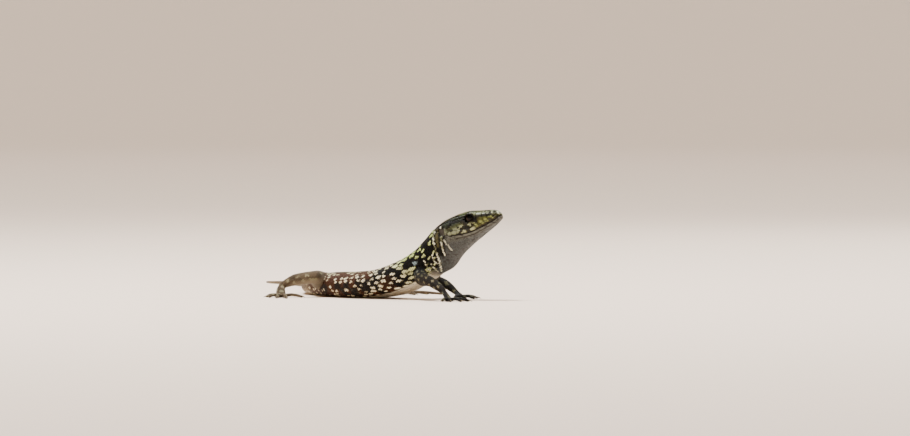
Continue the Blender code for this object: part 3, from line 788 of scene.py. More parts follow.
def tail_colour(s, w, share, seed):
    """Barred crown, dark stripe and pale underside; share is of the way down from the back."""
    bars = fade(0.35, 0.7, 0.5 + 0.5 * np.sin(s * 1.7 + 1.2 * np.sin(s * 0.37)))
    fleck = fade(0.45, 0.62, blotches(s, w, 1.2, seed + 17))
    crown = mix(paint(124, 106, 78), paint(52, 42, 30), bars * fleck * fade(1.15, 0.5, share * 1.2))
    crown = mix(crown, BROWN, fade(100, 150, s))
    flank = mix(crown, paint(60, 50, 38), fade(0.28, 0.4, share) * fade(0.62, 0.5, share) * 0.7)
    return mix(flank, paint(186, 172, 146), fade(0.58, 0.74, share))


def body_colour(s, angle):
    """The markings of head, neck, trunk and tail."""
    seed = np.where(angle < 0, 3, 31)
    w = np.abs(SPINE.arc(s, angle))
    degrees = np.degrees(np.abs(angle))
    share = w / SPINE.half_girth(s)
    throat = mix(THROAT, paint(50, 49, 48), reticulate(s, w, seed))
    pale = mix(throat, BELLY, fade(23, 26, s))
    clouds = fade(0.5, 0.7, blotches(s, w, 1.0, seed + 2)) * fade(0.86, 0.78, share)
    pale = mix(pale, paint(60, 58, 50), clouds * fade(24, 27, s) * 0.8)
    colour = mix(trunk_colour(s, w, seed), pale, fade(0.76, 0.83, share))
    edge = THROAT_EDGE(s)
    colour = mix(colour, throat, fade(24.0, 22.0, s) * fade(edge - 3, edge + 5, degrees))
    colour = neck_side(s, w, degrees, colour, seed)
    nape = blend(16.4, 13.2, fade(42, 56, degrees))
    colour = mix(head_colour(s, w, degrees, seed), colour, fade(nape, nape + 2.0, s))
    return mix(colour, tail_colour(s, w, share, seed), fade(*TAIL_FADE, s))


# Arms and legs: ground at the root and beyond it, clouding, spotting, underside and the root's spots.
LIMB_PAINTS = {
    "arm": (paint(8, 9, 9), paint(20, 15, 9), 0.75, 0.32, paint(46, 42, 34), paint(136, 152, 152)),
    "leg": (paint(86, 73, 56), paint(86, 73, 56), 0.4, 0.55, paint(134, 122, 102), None),
}
LIMB_SEEDS = {"right_arm": 5, "left_arm": 9, "right_leg": 14, "left_leg": 22}


def limb_colour(name, tube, turn, distance):
    """Limbs: brown with darker clouding and pale spots above, paler below; distance is from the root."""
    seed = LIMB_SEEDS[name]
    root, beyond, clouding, spotting, under, root_spots = LIMB_PAINTS[name[-3:]]
    arc = turn * tube.girth(distance - first_of(name, tube)) / (2 * math.pi)
    base = mix(root, beyond, fade(4, 8, distance))
    base = mix(base, paint(14, 12, 8), fade(0.5, 0.68, blotches(distance, arc, 0.9, seed)) * clouding)
    level, share = spots(distance, arc + 20, 1.5, 2.6, 0.5, 0.38, seed)
    pale = mix(paint(130, 132, 96), paint(180, 168, 132), share)
    if root_spots is not None:
        pale = mix(root_spots, pale, fade(2, 5, distance))
    return mix(mix(base, pale, level * spotting), under, fade(2.4, 4.0, np.abs(arc)) * 0.8)


def first_of(name, tube):
    """How far from the limb's root a tube starts."""
    length = FORMS[name][0]
    return 0.0 if tube is length else length.length


# --- coat: scales and plates ---
class ScaleShape:
    """One scale about its root: rings (radius, rise, shift back, squeeze, painted shade at its foot) and a
    tip.
    """

    def __init__(self, rings, tip, sides=8):
        turn = turns_of(sides, 0.5)
        rows = [columns(radius * np.cos(turn) + shift, radius * squeeze * np.sin(turn), rise)
                for radius, rise, shift, squeeze, _ in rings]
        self.points = np.concatenate([*rows, [tip]])
        self.painted_shades = np.append(np.repeat([ring[4] for ring in rings], sides), 0.0)
        self.quads = ring_quads(len(rings), sides)
        self.triangles = fan((len(rings) - 1) * sides, sides, len(rings) * sides)


# the last number of each ring is its painted shade, full at a scale's foot
ROOT_RING = (1.0, -0.5, 0.0, 1.0, 1.0)
GRANULE = ScaleShape([ROOT_RING, (0.93, 0.35, 0.02, 1.0, 0.45), (0.6, 0.85, 0.08, 1.0, 0.0)],
                     (0.1, 0.0, 1.0))
KEELED = ScaleShape([ROOT_RING, (0.95, 0.3, 0.06, 0.98, 0.4), (0.62, 0.72, 0.2, 0.32, 0.0)],
                    (0.38, 0.0, 1.0))
SCUTE = ScaleShape([ROOT_RING, (0.94, 0.55, 0.04, 0.96, 0.35), (0.6, 0.95, 0.1, 0.7, 0.0)],
                   (0.12, 0.0, 1.0), sides=6)
# the nostril's inner rings carry full painted shade, which darkens its hole
NOSTRIL = ScaleShape([(1.0, -0.3, 0.0, 1.0, 0.9), (0.9, 0.9, 0.0, 1.0, 0.2), (0.66, 1.1, 0.0, 1.0, 0.4),
                      (0.5, 0.8, 0.0, 1.0, 1.0), (0.42, 0.0, 0.0, 1.0, 1.0)], (0.0, 0.0, -0.4), sides=14)
PATCH = 0.0015  # half of a scale's own patch on the unwrap
UNDERFOOT = 0.005  # the lowest that a scale reaches


class Coat(Shell):
    """One joined piece of scales, with each scale's colour and its place on the unwrap."""

    def __init__(self):
        super().__init__()
        self.tints, self.painted_shades, self.patches = [], [], []

    def add_scales(self, shape, roots, back, up, size, tints, places):
        """Many scales of one shape; size is (length, width, height) for each, places their unwrap."""
        side = unit(np.cross(up, back))
        axes = np.stack([np.cross(side, up), side, up], axis=1)
        points = roots[:, None] + shape.points * (size * (0.5, 0.5, 1.0))[:, None] @ axes
        count, each = points.shape[:2]
        first = (np.arange(count) * each)[:, None, None]
        self.add(points, shape.quads + first, shape.triangles + first)
        self.tints.append(np.repeat(tints, each, axis=0))
        self.painted_shades.append(np.tile(shape.painted_shades, count))
        self.patches.append((places[:, None] + shape.points[:, :2] * PATCH).reshape(-1, 2))

    def add_plate(self, rings, painted_shades, tints, patches):
        """One plate from rings of equal counts, outermost first, whose last ring closes in a fan."""
        sides, count = len(rings[0]), len(rings) * len(rings[0])
        points = np.concatenate([*rings, [rings[-1].mean(axis=0)]])
        self.add(points, ring_quads(len(rings), sides), fan(count - sides, sides, count))
        self.painted_shades.append(np.append(np.repeat(painted_shades, sides), 0.0))
        self.tints.append(tints)
        self.patches.append(patches)

    def finish(self, name, finish, slot):
        points, quads, triangles = self.arrays()
        tints, painted_shades, patches = (np.concatenate(rows) for rows in (self.tints, self.painted_shades, self.patches))
        return store(name, (off_floor(points, UNDERFOOT), quads, triangles), finish, slot, tints, painted_shades,
                     np.clip(patches, 0, 1))


# --- the skin, built ---
LID_INNER = (1.13, 0.76)  # half sizes of the eye's opening
LID_OUTER = (1.85, 1.4)
LID_CUT = (1.45, 1.08)  # the skin inside this is replaced by the lids
LID_SHAPE = 0.18  # how much the lids' corners are drawn in
LID_THICK, LID_SWELL, RIM_SWELL = 0.09, 0.17, 0.1
LID_TUCKS = (-0.3, -0.12)  # how far inside the rim the hidden edge lies
LID_SIDES, LID_COUNT = 56, 12
DIGIT_INSET = 0.1
SMOOTHINGS, DENT_SOFTENING = 4, 0.3  # rounds over the whole skin, and the share of one after its dents
TAIL_SKIN = (CORE_END - 1.0, TAIL_TIP - 0.3)
TAIL_INSET = 0.6  # the thin tail's skin lies this share of the coat's depth inside the solids


def lid_place(side, turn, share, lift=0.0):
    """Points on the lids: share 0 is the rim on the eyeball and 1 is the outer edge on the head."""
    back = blend(LID_INNER[0], LID_OUTER[0], share) * np.cos(turn)
    up = blend(LID_INNER[1], LID_OUTER[1], share) * np.sin(turn)
    up = up * (1 - LID_SHAPE * np.abs(np.cos(turn)) ** 3)
    on_ball = EYE_OUT + np.sqrt(np.maximum((EYE_RADIUS + LID_THICK) ** 2 - back**2 - up**2, 0.0))
    on_head = np.maximum(side_out(EYE_BACK + back, EYE_UP + up) - COAT + 0.02, on_ball)
    swell = LID_SWELL * np.sin(math.pi * np.clip(share * 1.5, 0, 1)) + RIM_SWELL * fade(0.25, 0.0, share)
    out = blend(on_ball, on_head, fade(0.15, 0.95, share)) + swell + lift
    return SPINE.in_head(EYE_BACK + back, side * out, EYE_UP + up)


def eyelids(side):
    """Both lids of one eye as a ring, with its rim turned in against the ball."""
    turns = turns_of(LID_SIDES)
    rings = [lid_place(side, turns, 0.0, tuck) for tuck in LID_TUCKS]
    rings += [lid_place(side, turns, share) for share in np.linspace(0, 1, LID_COUNT)]
    quads = ring_quads(len(rings), len(turns))
    return np.concatenate(rings), quads[:, ::-1] if side > 0 else quads


def dents(points):
    """How far the skin moves outwards at each of its points on the body: streaks, ears and folds."""
    form, s, angle = CHART.look_up(points)
    w = np.abs(SPINE.arc(s, angle))
    move = -EAR_DEPTH * fade(1.05, 0.72, ear_distance(points, *EAR_HOLE)) * (w < EAR_ARC)
    for half, stops in STREAKS:
        far = line_distance(s, w, stops)
        move += STREAK_RISE * (fade(half * 2.2, 0, far) - fade(0.45, 0, np.abs(far - half * 3)))
    for depth, reach, stops in FOLDS:
        move -= depth * fade(reach, 0.0, line_distance(s, w, stops))
    return np.where(form == 0, move, 0.0)


def skin_colours(points):
    form, s, angle = CHART.look_up(points)
    colours = np.zeros((len(points), 3))
    body = form == 0
    colours[body] = body_colour(s[body], angle[body])
    for number, (name, _, tube) in enumerate(TUBES, 1):
        here = form == number
        colours[here] = limb_colour(name, tube, angle[here], s[here] + first_of(name, tube))
    return colours


def build_skin():
    """The whole animal's skin as one mesh, and the look-up tree for scales to stand on it."""
    core = Shell()
    core.add(*loft(body_rings(CORE_START, CORE_END, *BODY_RINGS)))
    for _, kind, tube in TUBES:
        if kind != "digit":
            core.add(*loft(tube.closed_rings(*LIMB_RINGS, COAT)))
    points, quads = remeshed(core.arrays())
    points = relaxed(points, quads, SMOOTHINGS)
    points = points + vertex_normals(points, quads) * dents(points)[:, None]
    points = off_floor(relaxed(points, quads, 1, DENT_SOFTENING))
    back, out, up = SPINE.to_head(points[quads].mean(axis=1))
    covered = np.hypot((back - EYE_BACK) / LID_CUT[0], (up - EYE_UP) / LID_CUT[1]) < 1
    quads = quads[~(covered & (np.abs(out) > EYE_OUT - 0.5))]
    ground = BVHTree.FromPolygons(points.tolist(), quads.tolist())
    shell = Shell()
    shell.add(points, quads)
    shell.add(*loft(body_rings(*TAIL_SKIN, *TAIL_RINGS, TAIL_INSET)))
    for _, kind, tube in TUBES:
        if kind == "digit":
            shell.add(*loft(tube.closed_rings(*DIGIT_RINGS, DIGIT_INSET)))
    for side in SIDES:
        shell.add(*eyelids(side))
    points, quads, triangles = shell.arrays()
    used = np.zeros(len(points), bool)
    used[quads.ravel()] = True
    used[triangles.ravel()] = True
    number = np.cumsum(used) - 1
    return (points[used], number[quads], number[triangles]), ground


# --- materials ---
GRAIN, CLOUD = 9000.0, 4000.0  # scales of the noise, to the metre
# The iris from the pupil's edge outwards: share of the eyeball's radius, and paint; past the thin bronze
# ring it is painted near-black as shade.
EYE_BANDS = [(0.42, (1, 1, 1)), (0.45, (54, 32, 13)), (0.49, (24, 14, 6)), (0.62, (12, 7, 4)),
             (0.8, (4, 3, 2))]


def set_inputs(material, node, inputs):
    """Gives each named input a value, or joins another node's output to it."""
    for key, value in inputs.items():
        if isinstance(value, bpy.types.NodeSocket):
            material.node_tree.links.new(value, node.inputs[key])
        else:
            node.inputs[key].default_value = value


def add_node(material, kind, inputs, output=0, **settings):
    """One output of a new node that has these inputs and settings."""
    node = material.node_tree.nodes.new("ShaderNode" + kind)
    for key, value in settings.items():
        setattr(node, key, value)
    set_inputs(material, node, inputs)
    return node.outputs[output]


def new_material(name):
    """A material, and the coordinates of its piece."""
    made = bpy.data.materials.new(name)
    made.use_nodes = True
    return made, add_node(made, "TexCoord", {}, "Object")


def paint_surface(material, inputs):
    set_inputs(material, material.node_tree.nodes["Principled BSDF"], inputs)


def scale_finish(name, roughness, painted_shade_depth, relief, gloss=0.1):
    """Painted by the vertex colours, broken up by fine noise, with painted shade darkening each scale's
    foot and each plate's edge.
    """
    made, place = new_material(name)
    fine = add_node(made, "TexNoise", {"Vector": place, "Scale": GRAIN, "Detail": 3.0}, "Fac")
    vary = add_node(made, "MapRange", {"Value": fine, "From Min": 0.3, "From Max": 0.7, "To Min": 0.78,
                                       "To Max": 1.18})
    # painted shade: each scale darker towards its foot and each plate towards its edge, where neighbours
    # meet
    painted_shade = add_node(made, "Attribute", {}, "Fac", attribute_name="painted_shade")
    shade = add_node(made, "MapRange", {"Value": painted_shade, "To Min": 1.0, "To Max": 1.0 - painted_shade_depth})
    level = add_node(made, "Math", {0: vary, 1: shade}, operation="MULTIPLY")
    tint = add_node(made, "Attribute", {}, "Color", attribute_name="tint")
    colour = add_node(made, "VectorMath", {0: tint, "Scale": level}, operation="SCALE")
    bump = add_node(made, "Bump", {"Strength": relief, "Distance": 0.00004, "Height": fine})
    paint_surface(made, {"Base Color": colour, "Normal": bump, "Roughness": roughness,
                         "Specular IOR Level": gloss})
    return made


def eye_finish():
    """A round black pupil, a thin bronze ring and an iris painted near-black as shade, under a wet surface.
    """
    made, place = new_material("eye_wet")
    flat = add_node(made, "VectorMath", {0: place, 1: (1.0, 1.0, 0.0)}, operation="MULTIPLY")
    away = add_node(made, "VectorMath", {0: flat}, "Value", operation="LENGTH")
    reach = add_node(made, "MapRange", {"Value": away, "From Max": EYE_RADIUS * MM})
    colour = add_node(made, "ValToRGB", {"Fac": reach})
    bands = colour.node.color_ramp.elements
    for position, shade in EYE_BANDS:
        bands.new(position).color = (*paint(*shade), 1)
    bands.remove(bands[0])
    bands.remove(bands[-1])
    paint_surface(made, {"Base Color": colour, "Roughness": 0.12, "Specular IOR Level": 0.06,
                         "Coat Weight": 0.1, "Coat Roughness": 0.02})
    return made


def plain_finish(name, colour, roughness):
    """One paint, slightly clouded."""
    made, place = new_material(name)
    cloud = add_node(made, "TexNoise", {"Vector": place, "Scale": CLOUD}, "Fac")
    level = add_node(made, "MapRange", {"Value": cloud, "To Min": 0.9, "To Max": 1.08})
    shade = add_node(made, "VectorMath", {0: tuple(colour), "Scale": level}, operation="SCALE")
    paint_surface(made, {"Base Color": shade, "Roughness": roughness})
    return made


# --- scales on the body ---
WIDEST_ARC = float(SPINE.half_girth(SPINE.girth_at).max())
LAP = 1.06  # a scale's size, as a share of its place
TAIL_SCALE_LENGTH, TAIL_SCALE_RISE = 1.55, 0.19


def on_ground(ground, points, reach):
    """Where each point lands on the skin, the skin's normal there, and whether it is within reach."""
    found = [ground.find_nearest(point) for point in points.tolist()]
    roots, normals = (np.array([hit[k] for hit in found]) for k in (0, 1))
    return roots, normals, np.array([hit[3] for hit in found]) < reach


def unwrap(s, w, start, end):
    """The place on a piece's own unwrap: along the spine, and round from the middle of the back."""
    return columns((s - start) / (end - start) * 0.96 + 0.02, 0.5 + w / (2 * WIDEST_ARC) * 0.96)


def scale_grid(start, end, pitch, low, high, width, loose=0.15):
    """Staggered rows of scale places, (station, arc, width), with arcs from low(s) to high(s) at most."""
    rows = []
    for number, s in enumerate(np.arange(start, end, pitch)):
        left, right = low(s), high(s)
        count = max(2, int(round((right - left) / width(s))))
        step = (right - left) / count
        rows.append(columns(s, left + (np.arange(count) + 0.25 + 0.5 * (number % 2)) * step, step))
    grid = np.concatenate(rows)
    number = np.arange(len(grid))
    grid[:, 0] += (hashed(number, 1) - 0.5) * pitch * loose
    grid[:, 1] += (hashed(number, 2) - 0.5) * grid[:, 2] * loose
    return grid


def clear_of(tree, roots, reach):
    """Whether each scale's root lies away from the places in a tree."""
    return np.array([tree.find(root)[2] > reach for root in roots.tolist()])


def uneven(count, least, seed):
    """Sizes that differ from scale to scale, from `least` to as much over 1."""
    return (least + 2 * (1 - least) * hashed(np.arange(count), seed))[:, None]


def stand_on_body(coat, shape, s, angle, roots, up, sizes, span):
    """Stands scales at places of the body; span is the stations that the piece's unwrap covers."""
    coat.add_scales(shape, roots, rearward(SPINE, s, angle, 0.15), up, sizes, body_colour(s, angle),
                    unwrap(s, SPINE.arc(s, angle), *span))


def cover_body(coat, ground, grid, length, rise, span, keep):
    """Stands granules on a grid of (station, arc, width) places; keep tells which ones to leave in."""
    s, arc, width = grid.T
    angle = SPINE.angle(s, arc)
    roots, normals, near = on_ground(ground, SPINE.surface(s, angle, -COAT), 0.45)
    near &= keep(roots, arc)
    s, angle, width = s[near], angle[near], width[near]
    sizes = columns(length * LAP, width * LAP, rise) * uneven(len(s), 0.92, 3)
    stand_on_body(coat, GRANULE, s, angle, roots[near], normals[near], sizes, span)


def cover_tail(coat, middle, whorl, span):
    """Stands one whorl of keeled scales on the tail, round the station `middle`."""
    s, arc, width = whorl.T
    angle = SPINE.angle(s, arc)
    roots = SPINE.surface(s, angle, -coat_depth(s))
    up = unit(roots - SPINE.surface(s, angle, -coat_depth(s) - 0.1))
    rise = TAIL_SCALE_RISE * np.minimum(1, HALF_WIDTH(middle) / 1.6)
    stand_on_body(coat, KEELED, s, angle, roots, up, columns(TAIL_SCALE_LENGTH, width * LAP, rise), span)


# --- plates ---
PLATE_STEP, PLATE_GAP = 0.17, 0.005  # between points of an outline, and half the groove between plates
PLATE_EDGE = [(0.0, -0.1, 1.0), (0.0, 0.35, 0.8), (0.045, 0.78, 0.4), (0.12, 0.96, 0.1)]  # inset, rise, painted shade in the groove
PLATE_CORE = (0.72, 0.46, 0.22)  # rings inside the edge, as shares of its innermost
PLATE_RISE, LIP_RISE = 0.15, 0.16


def resampled(outline):
    """A closed outline with evenly spaced points and softened corners."""
    closed = np.array([*outline, outline[0]], float)
    at = run_lengths(closed)
    places = np.linspace(0, at[-1], max(14, int(at[-1] / PLATE_STEP)), endpoint=False)
    ring = columns(*(np.interp(places, at, closed[:, k]) for k in range(2)))
    for _ in range(2):
        ring = ring * 0.5 + (np.roll(ring, 1, axis=0) + np.roll(ring, -1, axis=0)) * 0.25
    return ring


def shrunk(ring, inset):
    """A ring moved inwards by a distance, along the outline's own normals."""
    after = np.roll(ring, -1, axis=0)
    way = unit(after - np.roll(ring, 1, axis=0))
    area = np.sum(ring[:, 0] * after[:, 1] - ring[:, 1] * after[:, 0])
    moved = ring + columns(-way[:, 1], way[:, 0]) * inset * np.sign(area)
    centre = ring.mean(axis=0)
    ahead = np.einsum("ij,ij->i", moved - centre, ring - centre) > 0
    return np.where(ahead[:, None], moved, centre + (ring - centre) * 0.1)


class Plates:
    """Head and belly plates: outlines on one of the head's charts, raised with rounded edges."""

    def __init__(self, span):
        self.coat = Coat()
        self.span = span
        self.cover = []  # points all over the plates, so that granules stay off them

    def add(self, outline, to_angle, rise=PLATE_RISE, tilt=0.0):
        """A plate in chart places (station, b), where to_angle(station, b) gives the angle."""
        ring = shrunk(resampled(outline), PLATE_GAP)
        centre = ring.mean(axis=0)
        flats = [(shrunk(ring, inset), high, painted_shade) for inset, high, painted_shade in PLATE_EDGE]
        inner = flats[-1][0]
        flats += [(centre + (inner - centre) * share, 1.0, 0.0) for share in PLATE_CORE]
        ahead = ring[:, 0].min()
        run = max(ring[:, 0].max() - ahead, 0.1)
        rings, tints, patches = [], [], []
        for flat, high, _ in [*flats, (centre[None], 1.0, 0.0)]:
            s, angle = flat[:, 0], to_angle(*flat.T)
            rings.append(SPINE.surface(s, angle, high * (rise + tilt * (s - ahead) / run) - COAT))
            tints.append(body_colour(s, angle))
            patches.append(unwrap(s, SPINE.arc(s, angle), *self.span))
        self.coat.add_plate(rings[:-1], [flat[2] for flat in flats], np.concatenate(tints),
                            np.concatenate(patches))
        for share in np.linspace(1, 0, 9):
            s, across = (centre + (ring - centre) * share).T
            self.cover.append(SPINE.surface(s, to_angle(s, across), -COAT))


# Top of the head, corners as (station, out from the middle); the mid-line plates give one half.
MIDLINE_PLATES = [
    [(1.95, 0.0), (2.15, 0.9), (2.5, 1.35), (3.2, 1.55), (3.9, 0.75), (4.15, 0.0)],  # internasal
    [(5.15, 0.0), (5.4, 0.75), (5.85, 1.45), (6.6, 1.5), (9.2, 1.1), (9.8, 0.6), (9.95, 0.0)],  # frontal
    [(11.45, 0.0), (11.75, 0.55), (12.5, 0.8), (13.8, 0.45), (14.15, 0.0)],  # interparietal
    [(14.2, 0.0), (14.3, 0.42), (15.4, 0.85), (15.95, 0.6), (16.05, 0.0)],  # occipital
]
PAIRED_PLATES = [
    [(0.75, 0.0), (0.85, 0.95), (1.25, 1.45), (2.0, 1.6), (2.2, 0.85), (1.9, 0.0)],  # supranasal
    [(3.95, 0.75), (3.25, 1.6), (3.3, 2.05), (4.6, 2.3), (5.9, 2.2), (5.8, 1.5), (5.1, 0.0),
     (4.2, 0.0)],  # prefrontal
    [(5.95, 1.6), (6.0, 2.5), (6.5, 2.85), (6.55, 1.6)],  # four supraoculars
    [(6.6, 1.6), (6.6, 2.95), (7.2, 3.45), (8.65, 3.7), (8.65, 1.25)],
    [(8.7, 1.25), (8.7, 3.7), (9.8, 3.85), (10.65, 3.7), (10.8, 2.1), (9.9, 1.25)],
    [(10.85, 2.15), (10.75, 3.7), (11.4, 3.7), (11.6, 2.5)],
    [(10.0, 0.0), (9.85, 0.65), (9.7, 1.0), (10.3, 1.6), (11.1, 2.15), (11.9, 2.1), (11.7, 0.65),
     (11.4, 0.0)],  # frontoparietal
    [(11.7, 2.5), (11.6, 3.7), (12.4, 4.3), (14.2, 4.5), (15.8, 4.2), (16.7, 3.2), (16.4, 1.2), (15.5, 0.9),
     (14.25, 0.48), (12.6, 0.85), (11.8, 0.75), (11.95, 2.15)],  # parietal
]
# Edge plates over the eye and the temple: front, rear, shares of the head's height, rise.
BROWS = np.linspace(5.9, 11.5, 7)
TEMPLES = ((11.7, 13.2), (13.25, 14.9), (14.95, 16.4))
EDGE_PLATES = [(*ends, 0.80, 0.67, 0.17) for ends in zip(BROWS, BROWS[1:])]
EDGE_PLATES += [(*ends, 0.66, 0.50, 0.15) for ends in TEMPLES]
LABIAL_STATIONS = (0.75, 1.9, 3.2, 4.6, 6.1, 9.3, 10.9, 12.2, 13.2)
LABIAL_HEIGHT = smooth_curve([(0.7, 0.75), (3.0, 0.85), (6.0, 0.82), (8.0, 0.86), (10.5, 1.15),
                              (13.3, 0.95)])
# Plates between lips and canthus: front, rear, and whether it is split in two.
LOREALS = [(1.75, 2.15, False), (2.2, 2.85, True), (2.9, 3.9, False), (3.95, 5.3, False)]
CANTHUS = smooth_curve([(0.6, 0.85), (1.6, 1.35), (3.0, 1.95), (6.2, 2.9)])
EAR_SHIELD = [(12.0, 1.5), (13.3, 1.45), (13.5, 2.1), (12.8, 2.45), (11.9, 2.2)]
JAW_STATIONS = (0.8, 2.1, 3.8, 5.7, 7.8, 9.9, 11.8)
JAW_DEPTH = smooth_curve([(0.7, 0.5), (4.0, 0.8), (8.0, 0.95), (11.8, 0.7)])
CHIN_STATIONS = (0.85, 2.0, 3.6, 5.5, 7.6, 9.4)
CHIN_GAPS = (0.0, 0.0, 0.0, 0.0, 1.3, 2.6)  # how far each chin shield's inner edge is from the middle
# The rostral and the mental plate: middle and reach round the snout, and rear end.
SNOUT_PLATES = ((0.0, 1.12, 0.72), (math.pi, 1.3, 0.75))
NOSTRIL_PLACE, NOSTRIL_SIZE = (1.35, 1.12), (0.72, 0.6, 0.17)
BELLY_ROWS, BELLY_START = 28, 24.6
BELLY_RISE = (0.11, 0.07)  # at the front, and how much more at the rear
BELLY_PLATE = ((0.0, 0.0), (0.0, 1.0), (0.85, 1.0), (1.06, 0.8), (1.06, 0.2), (0.85, 0.0))


def on_flank(side):
    """The chart of one side of the head, whose b is the height over the section's axis."""
    return lambda s, height: angle_from_height(s, height, side)


def top_plates(plates):
    for half in MIDLINE_PLATES:
        plates.add(half + [(s, -out) for s, out in half[::-1] if out > 0], angle_from_side)
    for corners in PAIRED_PLATES:
        for side in SIDES:
            plates.add([(s, side * out) for s, out in corners], angle_from_side)
    for side in SIDES:
        for front, rear, high, low, rise in EDGE_PLATES:
            corners = [(front, 0.0, high), (front, 0.05, low), (rear, 0.05, low), (rear, 0.0, high)]
            plates.add([(s + back, ABOVE(s) * share) for s, back, share in corners], on_flank(side), rise)


def snout_plates(plates, jaw):
    """The rostral and mental plates, which wrap the snout's blunt end; chart b is an angle in radians."""
    for owner, (middle, reach, rear) in zip((plates, jaw), SNOUT_PLATES):
        half = [(-0.42, 1.0), (0.1, 1.02), (rear, 0.98)]
        corners = [(s, -share) for s, share in half] + [(rear + 0.1, 0.0)] + half[::-1]
        owner.add([(s, middle + share * reach) for s, share in corners], lambda s, turn: turn, LIP_RISE)


def nostrils(plates, ground):
    """A raised ring round a hole near the tip of the snout, on each side, darkened inside by painted shade.
    """
    for side in SIDES:
        s = np.array([NOSTRIL_PLACE[0]])
        angle = angle_from_height(s, NOSTRIL_PLACE[1], side)
        roots, normals, _ = on_ground(ground, SPINE.surface(s, angle, -COAT), 1.0)
        stand_on_body(plates.coat, NOSTRIL, s, angle, roots, normals, np.array([NOSTRIL_SIZE]), plates.span)
        plates.cover.append(roots)


def thirds(stations):
    """The front, the middle and the rear of each plate in a row."""
    return [(front, (front + rear) / 2, rear) for front, rear in zip(stations, stations[1:])]


def side_plates(plates, side):
    """Lips, loreals and nostril plates of one side."""
    flank = on_flank(side)
    for stops in thirds(LABIAL_STATIONS):
        outline = [(s, MOUTH(s) + 0.07) for s in stops]
        plates.add(outline + [(s, MOUTH(s) + LABIAL_HEIGHT(s)) for s in stops[::-1]], flank, 0.17)
    for front, rear, split in LOREALS:
        bottom = [(s, MOUTH(s) + LABIAL_HEIGHT(s) + 0.06) for s in (front, rear)]
        if split:
            middle = (bottom[0][1] + CANTHUS(front)) / 2
            plates.add([*bottom, (rear, middle), (front, middle)], flank)
            bottom = [(front, middle + 0.04), (rear, middle + 0.04)]
        plates.add(bottom + [(s, CANTHUS(s)) for s in (rear, front)], flank)
    plates.add(EAR_SHIELD, flank)


def jaw_plates(plates, side):
    """Lower lip plates and chin shields of one side; chart b is the distance below the mouth line."""
    def under(s, below):
        return side * SPINE.angle(s, mouth_arc(s) + below)

    for stops in thirds(JAW_STATIONS):
        plates.add([(s, 0.05) for s in stops] + [(s, JAW_DEPTH(s)) for s in stops[::-1]], under, LIP_RISE)
    for number, stops in enumerate(thirds(CHIN_STATIONS)):
        gaps = np.linspace(CHIN_GAPS[number], CHIN_GAPS[number + 1], 3)
        outline = [(s, JAW_DEPTH(s) + 0.06) for s in stops]
        for s, gap in zip(stops[::-1], gaps[::-1]):
            reach = SPINE.half_girth(s) - mouth_arc(s) - gap
            outline.append((s, float(max(reach, JAW_DEPTH(s) + 0.5))))
        plates.add(outline, under)


def belly_half(s):
    """How far the belly's plates reach from the middle of the belly, along the skin."""
    return SPINE.half_girth(s) * blend(0.2, 0.31, fade(24, 36, s))


def belly_plates(plates):
    pitch = (VENT - 1.5 - BELLY_START) / BELLY_ROWS
    for front in BELLY_START + pitch * np.arange(BELLY_ROWS):
        for side in SIDES:
            def under(s, reach):
                return side * SPINE.angle(s, SPINE.half_girth(s) - reach)

            for column in range(3):
                places = [(front + pitch * along, column + across) for along, across in BELLY_PLATE]
                corners = [(s, float(belly_half(s)) * share / 3) for s, share in places]
                plates.add(corners, under, *BELLY_RISE)


# --- scales on limbs ---
# Row pitch, scale width and rise of each kind of tube.
LIMB_SCALES = {"length": (0.42, 0.5, 0.13), "palm": (0.34, 0.4, 0.1)}
LIMB_LAP = (1.28, 1.08)  # a scale's length and width, as shares of its place
SCUTE_PITCH, SCUTES_ROUND, SCUTE_SIZE = 0.36, 7, (0.46, 0.085)
LIMB_REACH, LIMB_CLEAR = 0.3, 0.3  # the most from a root to the skin, the least to the body's scales
STRETCH_STEP, LEAST_SPACING = 0.1, 0.2
# Shares of a limb's or foot's unwrap that each of its tubes takes.
LENGTH_BAND, PALM_BAND = (0.02, 0.98), (0.02, 0.2)
DIGIT_BANDS = [(0.22 + number * 0.155, 0.365 + number * 0.155) for number in range(len(DIGIT_ROW))]


def stand_on_tube(coat, shape, name, tube, band, t, turn, roots, up, sizes):
    """Stands scales at (distance, turn) places of a tube; band is the share of the unwrap it takes."""
    places = columns(blend(band[0], band[1], t / tube.length), 0.5 + turn / (2.1 * math.pi))
    coat.add_scales(shape, roots, rearward(tube, t, turn, 0.1), up, sizes,
                    limb_colour(name, tube, turn, t + first_of(name, tube)), places)


def cover_tube(coat, ground, body, name, kind, tube, band):
    """Stands keeled scales all over a limb or palm, with closer rows where a bend stretches them."""
    pitch, width, rise = LIMB_SCALES[kind]
    rows, t = [], 0.1
    while t < tube.length:
        girth = float(tube.girth(t))
        count = max(6, int(round(girth / width)))
        turn = turns_of(count, 0.5 * (len(rows) % 2)) - math.pi
        run = tube.surface(t + STRETCH_STEP, turn) - tube.surface(t - STRETCH_STEP, turn)
        stretch = np.linalg.norm(run, axis=1) / (2 * STRETCH_STEP)
        step = pitch / max(1.0, float(stretch.max()))
        rows.append(columns(t, turn, girth / count, np.maximum(step * stretch, LEAST_SPACING)))
        t += step
    grid = np.concatenate(rows)
    roots, normals, near = on_ground(ground, tube.surface(grid[:, 0], grid[:, 1], -COAT), LIMB_REACH)
    near &= clear_of(body, roots, LIMB_CLEAR)
    t, turn, width, spacing = grid[near].T
    sizes = columns(spacing * LIMB_LAP[0], width * LIMB_LAP[1], rise) * uneven(len(t), 0.9, 4)
    stand_on_tube(coat, KEELED, name, tube, band, t, turn, roots[near], normals[near], sizes)


